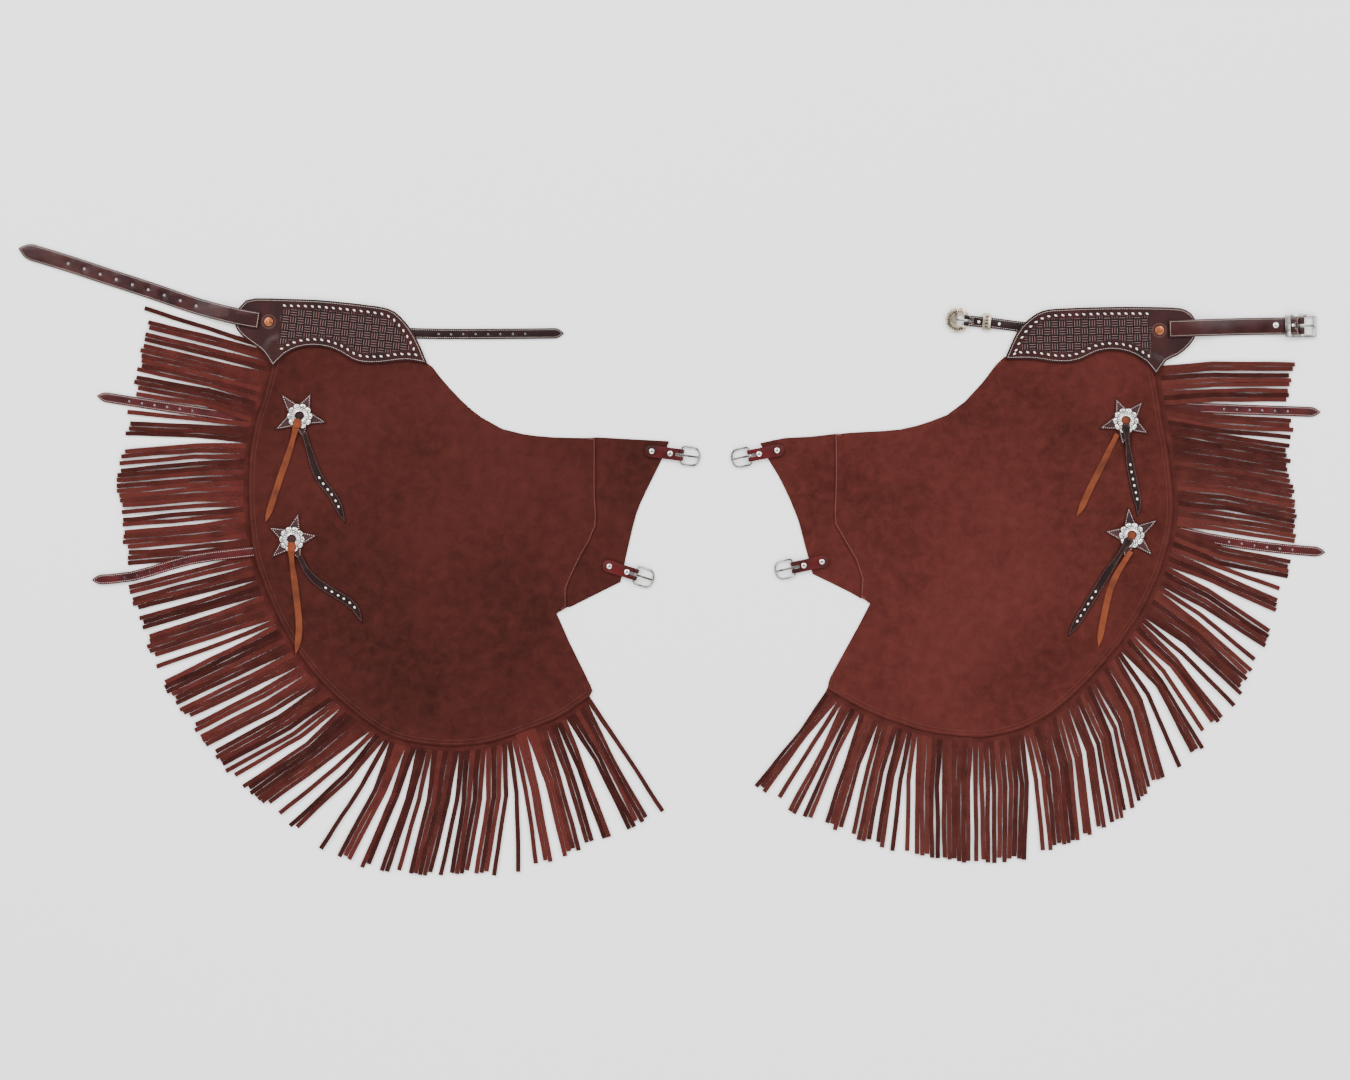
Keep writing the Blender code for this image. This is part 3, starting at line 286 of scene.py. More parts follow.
# Soft ridges left by the hide's own lie: x, y, heading, half length, half width, rise
LEFT_FOLDS = [(-330, 90, 20, 150, 26, 2.4), (-420, -90, -35, 130, 30, 2.0),
              (-260, -130, 65, 100, 24, 2.2), (-220, 110, -10, 80, 18, 1.6),
              (-480, 130, 80, 90, 24, 1.4), (-350, -10, -60, 80, 20, 1.5)]
RIGHT_FOLDS = [(420, 90, 155, 150, 26, 2.4), (510, -90, 35, 130, 30, 2.0),
               (360, -130, 115, 100, 24, 2.2), (330, 120, 10, 80, 18, 1.6),
               (590, 110, 95, 90, 24, 1.4), (460, 0, 60, 80, 20, 1.5)]

panels = {}
for side, hide, folds in (("left", left_suede, LEFT_FOLDS), ("right", right_suede, RIGHT_FOLDS)):
    carried = [side + part for part in (
        "_star_upper", "_star_lower", "_tan_string_upper", "_tan_string_lower", "_drop_upper",
        "_drop_lower", "_yoke", "_gusset", "_upper_tab", "_lower_tab")]
    carried.append(side + "_front_strap")
    around = near_tree(carried)
    bm = merged_copy(side + "_panel")
    edge_spots = [e for e in bm.edges if e.calc_face_angle(0.0) > 1.0]
    rim = KDTree(len(edge_spots) * 2)
    for k, e in enumerate(edge_spots):
        for n, v in enumerate(e.verts):
            rim.insert((v.co.x, v.co.y, 0.0), 2 * k + n)
    rim.balance()
    soften_rim(bm, SUEDE_RIM)
    cut_into_cells(bm, SUEDE_CELL)
    for v in bm.verts:
        flat_spot = (v.co.x, v.co.y, 0.0)
        clear = min(around.find(flat_spot)[2], rim.find(flat_spot)[2]) / MM
        share = min(1.0, max(0.0, (clear - 6.0) / FOLD_CLEAR))
        share = share * share * (3 - 2 * share)
        if share > 0:
            v.co.z += fold(v.co.x / MM, v.co.y / MM, folds) * share * MM
            v.co.z += 0.5 * (0.5 + 0.5 * noise.noise(v.co * 22.0)) * share * MM
    panels[side] = finish_piece(side + "_suede_panel", bm, hide, [side + "_panel"], slot="suede")

    bm = merged_copy(side + "_gusset")
    soften_rim(bm, SUEDE_RIM)
    cut_into_cells(bm, SUEDE_CELL)
    gusset = finish_piece(side + "_suede_gusset", bm, hide, [side + "_gusset"], slot="suede")


# Fringe
# A strip of the same suede caught in the curved seam and slit into long strands. They lie in locks and
# twist a little; the real strands show a darker grain side where they turn, and here each strand is
# simply a little lighter or darker than the next.

MOTTLE_WIDTH = 22.0
STRAND_CUTS = 5
STRAND_WAVE = 1.3
STRAND_CURL = 2.6


def fringe_suede(name, mid, light, dark):
    """The strands' suede, each strand a little lighter or darker than the next."""
    material, shader = new_material(name, Roughness=0.95, Specular_IOR_Level=0.1,
                                    Sheen_Weight=0.08, Sheen_Roughness=0.6,
                                    Sheen_Tint=srgb("#a05a4c"))
    place = add_node(material, "ShaderNodeTexCoord")
    tone = add_node(material, "ShaderNodeAttribute", attribute_name="strand_tone")
    mottled = add_node(material, "ShaderNodeTexNoise", [("Vector", place, "Object")],
                       Scale=1000 / MOTTLE_WIDTH, Detail=4.0, Roughness=0.6)
    both = add_node(material, "ShaderNodeMath", [(0, tone, "Fac"), (1, mottled, "Fac")],
                    operation="ADD")
    step = add_node(material, "ShaderNodeMapRange", [("Value", both, "Value")],
                    From_Min=0.5, From_Max=1.4)
    ramp = add_node(material, "ShaderNodeValToRGB", [("Fac", step, "Result")])
    ramp.color_ramp.elements[0].color = srgb(dark)
    ramp.color_ramp.elements[1].color = srgb(light)
    middle = ramp.color_ramp.elements.new(0.5)
    middle.color = srgb(mid)
    nap = add_node(material, "ShaderNodeTexNoise", [("Vector", place, "Object")],
                   Scale=1000 / NAP_WIDTH, Detail=2.0)
    relief = add_node(material, "ShaderNodeBump", [("Height", nap, "Fac")],
                      Strength=0.35, Distance=0.0006)
    material.node_tree.links.new(ramp.outputs["Color"], shader.inputs["Base Color"])
    material.node_tree.links.new(relief.outputs["Normal"], shader.inputs["Normal"])
    return material


for side, colours in (("left", ("#371613", "#4c201c", "#260d0b")),
                      ("right", ("#3b1916", "#4c231e", "#270e0c"))):
    chance = random.Random(11 if side == "left" else 23)
    bm = bmesh.new()
    bm.from_mesh(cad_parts[side + "_fringe"].data)
    tone_layer = bm.faces.layers.float.new("strand_tone")
    bmesh.ops.remove_doubles(bm, verts=bm.verts[:], dist=2e-6)
    diagonals = [e for e in bm.edges
                 if e.calc_length() > 24 * MM and e.calc_face_angle(0.0) < math.radians(25)]
    bmesh.ops.dissolve_edges(bm, edges=diagonals, use_verts=False)
    rails = [e for e in bm.edges if e.calc_length() > 24 * MM]
    bmesh.ops.subdivide_edges(bm, edges=rails, cuts=STRAND_CUTS)
    edge_tree = near_tree([side + "_panel"])
    strap_tree = near_tree([side + "_leg_strap_upper", side + "_leg_strap_lower"], 5.0)
    away = {v: edge_tree.find((v.co.x, v.co.y, 0.0))[2] / MM for v in bm.verts}
    loose = [v for v in bm.verts if away[v] > 12.6]
    for face in bm.faces:
        face[tone_layer] = 0.5
    waiting = set(loose)
    for root in loose:
        if root not in waiting:
            continue
        waiting.remove(root)
        strand = [root]
        for reached in strand:
            for e in reached.link_edges:
                for v in e.verts:
                    if v in waiting:
                        waiting.remove(v)
                        strand.append(v)
        tone = 0.12 + 0.76 * chance.random()
        phase = chance.random() * 40
        lift = chance.random()
        for v in strand:
            share = min(1.0, (away[v] - 8.0) / 40.0)
            by_strap = strap_tree.find((v.co.x, v.co.y, 0.0))[2] / MM
            flat = min(1.0, max(0.0, (by_strap - 7.0) / 12.0))
            for face in v.link_faces:
                face[tone_layer] = tone
            spot = v.co * 18.0
            sway = noise.noise_vector(Vector((spot.x, spot.y, phase)))
            v.co.x += sway.x * STRAND_WAVE * share * MM
            v.co.y += sway.y * STRAND_WAVE * share * MM
            curl = noise.noise(Vector((v.co.x * 70, v.co.y * 70, phase)))
            rise = (0.5 + 0.5 * curl) * STRAND_CURL + 0.8 * lift
            v.co.z += rise * share * flat * MM
    fringe = finish_piece(side + "_suede_fringe", bm, fringe_suede(side + "_fringe_suede", *colours),
                          [side + "_fringe"], slot="suede")


# Sewing of the panels
# The fringe is held by two close rows of dull red thread, the gusset by one paler row close to
# its edge. Each stitch is a short flat bead of waxed thread.

def thread(name, colour):
    """Waxed sewing thread with a slight shine."""
    material, _ = new_material(name, Base_Color=srgb(colour), Roughness=0.6,
                               Specular_IOR_Level=0.3)
    return material


red_thread = thread("dull_red_waxed_thread", "#522720")
# The rose thread also makes the pale beads that paint the drops' edge highlight
rose_thread_and_edge_highlight = thread("rose_waxed_thread_and_edge_highlight", "#8c5c57")
cream_thread = thread("cream_waxed_thread", "#d9cdc4")


def outline_of(node, up=0.35):
    """The outlines of a node's upper face, as loops of points, the longest first."""
    bm = merged_copy(node)
    facing_up = [f for f in bm.faces if f.normal.z > up]
    upper = set(facing_up)
    steps = {}
    for f in facing_up:
        for loop in f.loops:
            if sum(other in upper for other in loop.edge.link_faces) == 1:
                steps.setdefault(loop.vert.index, []).append(loop.link_loop_next.vert.index)
    bm.verts.ensure_lookup_table()
    loops = []
    while steps:
        start = next(iter(steps))
        trail = [start]
        while trail[-1] in steps:
            follow = steps[trail[-1]].pop()
            if not steps[trail[-1]]:
                del steps[trail[-1]]
            if follow == start:
                break
            trail.append(follow)
        loops.append([bm.verts[k].co.xy / MM for k in trail])
    bm.free()

    def reach(loop):
        return sum((a - b).length for a, b in zip(loop, [*loop[1:], loop[0]]))

    return sorted(loops, key=reach, reverse=True)


def set_in(loop, inset):
    """The closed outline moved inwards; its face is on the left of its direction."""
    moved = []
    for k, point in enumerate(loop):
        before = (point - loop[k - 1]).normalized()
        after = (loop[(k + 1) % len(loop)] - point).normalized()
        across = Vector((-before.y - after.y, before.x + after.x))
        if across.length < 1e-6:
            continue
        across.normalize()
        bend = max(0.35, across.dot(Vector((-before.y, before.x))))
        moved.append(point + across * inset / bend)
    return moved


def marks_along(path, pitch, closed=True):
    """Even places along a path, each with its heading."""
    points = [*path, path[0]] if closed else path
    total = sum((b - a).length for a, b in zip(points, points[1:]))
    count = max(1, round(total / pitch))
    found = []
    walked = 0.0
    n = 0
    for a, b in zip(points, points[1:]):
        span = (b - a).length
        while n < count and (n + 0.5) * total / count <= walked + span:
            share = ((n + 0.5) * total / count - walked) / max(span, 1e-9)
            found.append((a.lerp(b, share), math.atan2(b.y - a.y, b.x - a.x)))
            n += 1
        walked += span
    return found


def surface_of(*pieces):
    """Finds how high the top of these pieces is at a point."""
    trees = []
    for piece in pieces:
        bm = bmesh.new()
        bm.from_mesh(piece.data)
        trees.append(BVHTree.FromBMesh(bm))
        bm.free()

    def height(x, y):
        hits = [tree.ray_cast(Vector((x * MM, y * MM, 0.5)), Vector((0, 0, -1)))[0]
                for tree in trees]
        hits = [hit.z for hit in hits if hit]
        return max(hits) if hits else None

    return height


def sew(name, marks, height, material, length, width, rise, turn=0.0, body="cloth", slot="suede",
        sink=0.15):
    """A row of stitches: each is a short bead bevelled to a soft back."""
    bm = bmesh.new()
    for spot, heading in marks:
        top = height(spot.x, spot.y)
        if top is None:
            continue
        place = (Matrix.Translation((spot.x * MM, spot.y * MM, top - sink * MM))
                 @ Matrix.Rotation(heading + turn, 4, "Z")
                 @ Matrix.Diagonal((length * MM, width * MM, 1, 1)))
        made = bmesh.ops.create_circle(bm, cap_ends=True, segments=6, radius=0.5, matrix=place)
        base = list({f for v in made["verts"] for f in v.link_faces})
        grown = bmesh.ops.extrude_face_region(bm, geom=base)["geom"]
        crown = [v for v in grown if isinstance(v, bmesh.types.BMVert)]
        bmesh.ops.translate(bm, verts=crown, vec=(0, 0, (rise + sink) * MM))
        middle = Matrix.Translation((-spot.x * MM, -spot.y * MM, 0))
        bmesh.ops.scale(bm, verts=crown, vec=(0.7, 0.7, 1), space=middle)
    bmesh.ops.recalc_face_normals(bm, faces=bm.faces[:])
    return finish_piece(name, bm, material, body=body, slot=slot, angle=60)


for side in ("left", "right"):
    loop = outline_of(side + "_panel")[0]
    fringe_tree = near_tree([side + "_fringe"])
    yoke_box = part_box(side + "_yoke")
    gusset_tree = near_tree([side + "_gusset"], 4.0)
    height = surface_of(panels[side])
    hidden = surface_of(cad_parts[side + "_yoke"])
    for label, inset in (("outer", 3.5), ("inner", 8.5)):
        marks = [m for m in marks_along(set_in(loop, inset), 3.4)
                 if fringe_tree.find((m[0].x * MM, m[0].y * MM, 0))[2] < 13 * MM
                 and hidden(m[0].x, m[0].y) is None]
        sew(side + "_fringe_stitches_" + label, marks, height, red_thread, 2.7, 1.0, 0.35)
    seam_marks = [m for m in marks_along(set_in(loop, 2.2), 3.2)
                  if gusset_tree.find((m[0].x * MM, m[0].y * MM, 0))[2] < 3.5 * MM]
    sew(side + "_gusset_stitches", seam_marks, height, rose_thread_and_edge_highlight, 2.4, 0.8, 0.3)


# Yokes
# Two layers of heavy veg-tanned leather, oiled nearly black-brown. The middle is stamped with
# a basket weave inside a beaded border, and the rest is left smooth round the rivet.

YOKE_CELL = 4.0
YOKE_RIM = 0.9
LACE_INSET = 10.5
TOOLED_INSET = 15.0
LACE_PITCH = 10.7
BASKET_BLOCK = 11.4
BASKET_BAR = 3.8
GRAIN_WIDTH = 2.4
RUB_WIDTH = 42.0
BURR_MARK = [(8.2, 0.0), (8.2, 0.1), (9.4, 0.85), (10.6, 0.7), (11.6, 0.1), (11.6, 0.0)]


def tooled_yoke_leather(name, turn):
    """Oiled veg-tan: basket stamps where the mask says so, coloured with painted highlights on their
    bars and painted shade in their grooves, and fine pebbled grain elsewhere.
    """
    material, shader = new_material(name, Roughness=0.42, Specular_IOR_Level=0.15)
    links = material.node_tree.links
    place = add_node(material, "ShaderNodeTexCoord")
    turned = add_node(material, "ShaderNodeMapping", [("Vector", place, "Object")])
    turned.inputs["Rotation"].default_value = (0, 0, turn)
    checks = add_node(material, "ShaderNodeTexChecker", [("Vector", turned, "Vector")],
                      Scale=1000 / BASKET_BLOCK)
    checks.inputs["Color1"].default_value = (0, 0, 0, 1)
    checks.inputs["Color2"].default_value = (1, 1, 1, 1)
    bars = []
    ends = []
    for direction in ("X", "Y"):
        bars.append(add_node(material, "ShaderNodeTexWave", [("Vector", turned, "Vector")],
                             bands_direction=direction, Scale=50 * math.tau / BASKET_BAR))
        block = add_node(material, "ShaderNodeTexWave", [("Vector", turned, "Vector")],
                         bands_direction=direction, Scale=50 * math.tau / BASKET_BLOCK)
        ends.append(add_node(material, "ShaderNodeMapRange", [("Value", block, "Fac")],
                             From_Max=0.08))
    stripes = add_node(material, "ShaderNodeMix", [("Factor", checks, "Fac"),
                                                   (2, bars[0], "Fac"), (3, bars[1], "Fac")],
                       data_type="FLOAT")
    framed = add_node(material, "ShaderNodeMath", [(0, ends[0], "Result"), (1, ends[1], "Result")],
                      operation="MULTIPLY")
    weave = add_node(material, "ShaderNodeMath", [(0, stripes, "Result"), (1, framed, "Value")],
                     operation="MULTIPLY")
    mask = add_node(material, "ShaderNodeAttribute", attribute_name="tooled")
    grain = add_node(material, "ShaderNodeTexNoise", [("Vector", place, "Object")],
                     Scale=1000 / GRAIN_WIDTH, Detail=3.0)
    pebble = add_node(material, "ShaderNodeMapRange", [("Value", grain, "Fac")],
                      To_Min=0.45, To_Max=0.6)
    depth = add_node(material, "ShaderNodeMix", [("Factor", mask, "Fac"),
                                                 (2, pebble, "Result"), (3, weave, "Value")],
                     data_type="FLOAT")
    relief = add_node(material, "ShaderNodeBump", [("Height", depth, "Result")],
                      Strength=0.9, Distance=0.0009)
    # Painted shade in the grooves between the bars and the blocks, and painted highlights on the bars'
    # tops
    ramp = add_node(material, "ShaderNodeValToRGB", [("Fac", weave, "Value")])
    ramp.color_ramp.elements[0].color = srgb("#080303")
    ramp.color_ramp.elements[0].position = 0.15
    ramp.color_ramp.elements[1].color = srgb("#6d4e4b")
    half_way = ramp.color_ramp.elements.new(0.66)
    half_way.color = srgb("#1b0c0d")
    wear = add_node(material, "ShaderNodeTexNoise", [("Vector", place, "Object")],
                    Scale=1000 / RUB_WIDTH, Detail=4.0)
    plain = add_node(material, "ShaderNodeValToRGB", [("Fac", wear, "Fac")])
    plain.color_ramp.elements[0].color = srgb("#1d0b0b")
    plain.color_ramp.elements[0].position = 0.3
    plain.color_ramp.elements[1].color = srgb("#331514")
    plain.color_ramp.elements[1].position = 0.75
    colour = add_node(material, "ShaderNodeMix", [("Factor", mask, "Fac"), (6, plain, "Color"),
                                                  (7, ramp, "Color")], data_type="RGBA")
    links.new(colour.outputs[2], shader.inputs["Base Color"])
    links.new(relief.outputs["Normal"], shader.inputs["Normal"])
    return material


# White rawhide lace: hard, pale and slightly shiny
rawhide_lace, _ = new_material("white_rawhide_lace", Base_Color=srgb("#f3e6da"), Roughness=0.45)


def inside(loop, x, y):
    """Whether a point lies within the loop."""
    hit = False
    for a, b in zip(loop, [*loop[1:], loop[0]]):
        if (a.y > y) != (b.y > y) and x < (b.x - a.x) * (y - a.y) / (b.y - a.y) + a.x:
            hit = not hit
    return hit


def turned(profile, steps, place):
    """A round shape turned from its half outline, given as radius and height in millimetres."""
    bm = bmesh.new()
    spots = [bm.verts.new((r * MM, 0, z * MM)) for r, z in profile]
    ring = [*spots, spots[0]] if profile[0][0] else spots
    lines = [bm.edges.new(pair) for pair in zip(ring, ring[1:])]
    bmesh.ops.spin(bm, geom=spots + lines, cent=(0, 0, 0), axis=(0, 0, 1), angle=math.tau,
                   steps=steps, use_merge=True)
    bmesh.ops.remove_doubles(bm, verts=bm.verts[:], dist=1e-6)
    bmesh.ops.recalc_face_normals(bm, faces=bm.faces[:])
    bm.transform(place)
    return bm


# Where the stamping stops at the rivet end: x at the top edge and x at the bottom edge
TOOLED_START = {"left": (-588.0, -600.0), "right": (722.0, 731.0)}

# The same leather, painted paler on the pressed ring round the rivet as a painted highlight
burr_ring_highlight_leather, _ = new_material("burr_ring_painted_highlight_leather", Base_Color=srgb("#3c201c"), Roughness=0.45,
                               Specular_IOR_Level=0.2)

for side in ("left", "right"):
    loop = outline_of(side + "_yoke")[0]
    field = set_in(loop, TOOLED_INSET)
    outward = -1 if side == "left" else 1
    low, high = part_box(side + "_yoke")
    start_top, start_bottom = TOOLED_START[side]

    def in_field(x, y, low=low, high=high, start_top=start_top, start_bottom=start_bottom,
                 outward=outward):
        share = (y - low[1] / MM) / ((high[1] - low[1]) / MM)
        start = start_bottom + (start_top - start_bottom) * share
        return (x - start) * outward < 0

    bm = merged_copy(side + "_yoke")
    soften_rim(bm, YOKE_RIM, segments=3)
    cut_into_cells(bm, YOKE_CELL)
    mask_layer = bm.verts.layers.float.new("tooled")
    for v in bm.verts:
        x, y = v.co.xy / MM
        v[mask_layer] = float(in_field(x, y) and inside(field, x, y))
    yoke = finish_piece(side + "_tooled_yoke", bm,
                        tooled_yoke_leather(side + "_oiled_veg_tan_yoke",
                                            math.radians(6 if side == "left" else -1)),
                        [side + "_yoke"], slot="tooled_leather")
    height = surface_of(yoke)
    sew(side + "_yoke_edge_stitches", marks_along(set_in(loop, 3.2), 2.6), height, cream_thread,
        1.9, 0.75, 0.3, slot="tooled_leather")
    lace = [m for m in marks_along(set_in(loop, LACE_INSET), LACE_PITCH) if in_field(*m[0])]
    sew(side + "_yoke_lacing", lace, height, rawhide_lace, 5.4, 3.0, 0.7, math.radians(-28),
        slot="tooled_leather")
    low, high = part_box(side + "_rivet")
    halo = Matrix.Translation(((low[0] + high[0]) / 2, (low[1] + high[1]) / 2,
                               low[2] - 0.35 * MM))
    # The ring pressed round the rivet, in the paler leather that paints its highlight
    finish_piece(side + "_rivet_burr_mark", turned(BURR_MARK, 40, halo), burr_ring_highlight_leather,
                 slot="tooled_leather")
    beads = [m for m in marks_along(set_in(loop, TOOLED_INSET), 3.0) if in_field(*m[0])]
    sew(side + "_yoke_beaded_border", beads, height, yoke.data.materials[0], 2.0, 2.0, 0.35,
        slot="tooled_leather")


# Straps
# Long strips of bridle leather with rounded edges and a fine pale row of stitches along each
# edge: the waist strap, the front strap and four leg straps, punched with plain holes.

STRAP_CELL = 10.0
STRAP_RIM = 0.6
WEAR_WIDTH = 38.0
PORE_WIDTH = 1.4


def bridle_leather(name, light, dark, roughness=0.38):
    """Smooth waxed strap leather: faint grain, worn light patches and a low shine."""
    material, shader = new_material(name, Roughness=roughness, Specular_IOR_Level=0.18)
    place = add_node(material, "ShaderNodeTexCoord")
    wear = add_node(material, "ShaderNodeTexNoise", [("Vector", place, "Object")],
                    Scale=1000 / WEAR_WIDTH, Detail=5.0, Roughness=0.6)
    ramp = add_node(material, "ShaderNodeValToRGB", [("Fac", wear, "Fac")])
    ramp.color_ramp.elements[0].color = srgb(dark)
    ramp.color_ramp.elements[0].position = 0.32
    ramp.color_ramp.elements[1].color = srgb(light)
    ramp.color_ramp.elements[1].position = 0.72
    grain = add_node(material, "ShaderNodeTexVoronoi", [("Vector", place, "Object")],
                     Scale=1000 / PORE_WIDTH)
    relief = add_node(material, "ShaderNodeBump", [("Height", grain, "Distance")],
                      Strength=0.1, Distance=0.0004)
    material.node_tree.links.new(ramp.outputs["Color"], shader.inputs["Base Color"])
    material.node_tree.links.new(relief.outputs["Normal"], shader.inputs["Normal"])
    return material


waist_leather = bridle_leather("brown_bridle_leather", "#402020", "#1f0c0c", 0.3)
oxblood = bridle_leather("oxblood_bridle_leather", "#551215", "#280708")
wine_leather = bridle_leather("wine_bridle_leather", "#4f181b", "#290a0c")
dark_leather = bridle_leather("dark_bridle_leather", "#241110", "#120606")

STRAPS = [
    # name, node, leather, slot, cut width and length in metres
    ("left_waist_billet", "left_waist_strap", waist_leather, "strap_leather", 0.0254, 0.385),
    ("left_front_billet", "left_front_strap", dark_leather, "tooled_leather", 0.016, 0.262),
    ("left_upper_leg_billet", "left_leg_strap_upper", wine_leather, "oxblood_leather", 0.0154, 0.255),
    ("left_lower_leg_billet", "left_leg_strap_lower", wine_leather, "oxblood_leather", 0.0154, 0.262),
    ("right_upper_leg_billet", "right_leg_strap_upper", wine_leather, "oxblood_leather", 0.0154, 0.255),
    ("right_lower_leg_billet", "right_leg_strap_lower", wine_leather, "oxblood_leather", 0.0154, 0.25),
]
for name, node, leather, slot, width, length in STRAPS:
    bm = merged_copy(node)
    soften_rim(bm, STRAP_RIM)
    cut_into_cells(bm, STRAP_CELL)
    strap = finish_piece(name, bm, leather, [node], slot=slot)
    height = surface_of(strap)
    marks = marks_along(set_in(outline_of(node)[0], 2.3), 2.9)
    if slot == "tooled_leather":
        over = surface_of(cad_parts["left_yoke"])
        marks = [m for m in marks if over(*m[0]) is None]
    if slot == "oxblood_leather":
        leg = node[:node.index("_")]
        over = surface_of(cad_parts[leg + "_panel"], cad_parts[leg + "_fringe"])
        marks = [m for m in marks if (over(*m[0]) or 0) < (height(*m[0]) or 0)]
    sew(name + "_stitches", marks, height, cream_thread, 2.0, 0.75, 0.28, slot=slot)


# Buckle straps
# The waist and front straps of the right leg fold back round their buckle's bar, and four short
# tabs do the same at the gussets. The fold is slotted for the prong and held by snaps.

FOLDED = [
    ("right_waist_buckle_strap", "right_waist_strap", waist_leather, "strap_leather"),
    ("right_front_buckle_strap", "right_front_strap", dark_leather, "tooled_leather"),
    ("left_upper_buckle_tab", "left_upper_tab", oxblood, "oxblood_leather"),
    ("left_lower_buckle_tab", "left_lower_tab", oxblood, "oxblood_leather"),
    ("right_upper_buckle_tab", "right_upper_tab", oxblood, "oxblood_leather"),
    ("right_lower_buckle_tab", "right_lower_tab", oxblood, "oxblood_leather"),
]
for name, node, leather, slot in FOLDED:
    bm = merged_copy(node)
    soften_rim(bm, 0.35, 60)
    strap = finish_piece(name, bm, leather, [node], slot=slot)
    if slot != "oxblood_leather":
        marks = marks_along(set_in(outline_of(node, 0.6)[0], 2.2), 2.9)
        sew(name + "_stitches", marks, surface_of(strap), cream_thread, 2.0, 0.7, 0.28, slot=slot)


# Stars, bosses and strings
# Each star is a leather five-point patch with a row of white beads sewn round its edge. A tan
# string, knotted in the hole of its silver boss, and a dark drop with white lace spots hang down.

star_leather = bridle_leather("plum_star_leather", "#43282a", "#241315")
tan_string = bridle_leather("tan_latigo_string", "#78391c", "#4a1f0e", 0.6)

# How far the middle of the part's box lies above the middle of the table these were read on
CENTRE_Y = 0.74
# Middle lines of the drops, from the boss to the tip
DROPS = {
    "left_drop_upper": [(-559, 199), (-552, 172), (-537, 128), (-512, 93), (-496, 56)],
    "left_drop_lower": [(-566, 9), (-553, -18), (-530, -39), (-485, -68), (-470, -96)],
    "right_drop_upper": [(688, 207), (692, 174), (698, 134), (708, 84), (706, 66)],
    "right_drop_lower": [(695, 33), (663, -16), (639, -55), (616, -92), (601, -116)],
}
DROP_SPOTS = 6
DROP_SPOT_PITCH = 10.6
DROP_TIP = 27.0
KNOTS = {
    # side: length, width, thickness, distance from the boss's middle, rise
    "left": (16.0, 14.0, 4.4, 12.0, 0.0),
    "right": (13.6, 13.0, 4.4, 0.8, 1.5),
}


def rounded_line(points, steps):
    """A smooth curve through the points, as short spans."""
    flat = [Vector(p) for p in points]
    ends = [flat[0] * 2 - flat[1], *flat, flat[-1] * 2 - flat[-2]]
    curve = []
    for before, start, end, after in zip(ends, ends[1:], ends[2:], ends[3:]):
        for n in range(steps):
            t = n / steps
            pull = (end - before) * t + (before * 2 - start * 5 + end * 4 - after) * t * t
            curve.append(start + (pull + (start * 3 - before - end * 3 + after) * t ** 3) / 2)
    return [*curve, flat[-1]]


def knot(place, size):
    """The string's own turn through the boss: a flat lump with one slanting crease."""
    bm = bmesh.new()
    bmesh.ops.create_uvsphere(bm, u_segments=20, v_segments=10, radius=1.0)
    for v in bm.verts:
        crease = math.exp(-((v.co.x + 0.45 * v.co.y) / 0.2) ** 2)
        v.co.z *= 1 - 0.45 * crease
        v.co = Vector(v.co[k] * size[k] / 2 * MM for k in range(3))
    bm.transform(place)
    return bm


for side in ("left", "right"):
    for level in ("upper", "lower"):
        node = f"{side}_star_{level}"
        bm = merged_copy(node)
        soften_rim(bm, 0.5)
        cut_into_cells(bm, 6.0)
        star = finish_piece(f"{side}_{level}_star_patch", bm, star_leather, [node],
                            slot="tooled_leather")
        marks = marks_along(set_in(outline_of(node)[0], 1.7), 3.2)
        sew(f"{side}_{level}_star_beads", marks, surface_of(star), rawhide_lace, 1.7, 0.8, 0.45,
            slot="tooled_leather")
        low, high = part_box(f"{side}_boss_{level}")
        boss = (Vector(low) + Vector(high)) / 2
        for kind, leather, slot in (("tan_string", tan_string, "tan_leather"),
                                    ("drop", dark_leather, "tooled_leather")):
            node = f"{side}_{kind}_{level}"
            bm = merged_copy(node)
            soften_rim(bm, 0.4)
            cut_into_cells(bm, 5.0)
            strip = finish_piece(f"{side}_{level}_{kind}_leather", bm, leather, [node], slot=slot)
            if kind == "tan_string":
                low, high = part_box(node)
                way = ((Vector(low) + Vector(high)) / 2 - boss).xy.normalized()
                *size, down, rise = KNOTS[side]
                spot = boss.xy + way * down * MM
                under = surface_of(star, strip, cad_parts[f"{side}_boss_{level}"])
                place = (Matrix.Translation((*spot, under(*spot / MM) + rise * MM))
                         @ Matrix.Rotation(math.atan2(way.y, way.x), 4, "Z"))
                finish_piece(f"{side}_{level}_string_knot", knot(place, size), tan_string,
                             slot=slot)
            if node in DROPS:
                line = [p - Vector((0, CENTRE_Y)) for p in rounded_line(DROPS[node], 12)]
                line.reverse()
                spots = marks_along(line, 1.0, False)
                first = int(DROP_TIP)
                chosen = [spots[first + int(DROP_SPOT_PITCH * k)] for k in range(DROP_SPOTS)]
                sew(f"{side}_{level}_drop_lacing", chosen, surface_of(strip), rawhide_lace,
                    4.4, 3.4, 0.6, slot="tooled_leather")
                # Pale beads just inside the drop's edge: a painted highlight along its rounded edge
                rims = marks_along(set_in(outline_of(node)[0], 1.3), 2.4)
                sew(f"{side}_{level}_drop_edge", rims, surface_of(strip), rose_thread_and_edge_highlight, 1.8, 0.5,
                    0.2, slot="tooled_leather")


# Metal
# Nickel-plated bosses, buckles and studs, cast and tumbled bright, with painted shade in the bosses'
# low places, an antiqued silver rosette and keeper on the front strap, and solid copper rivets.

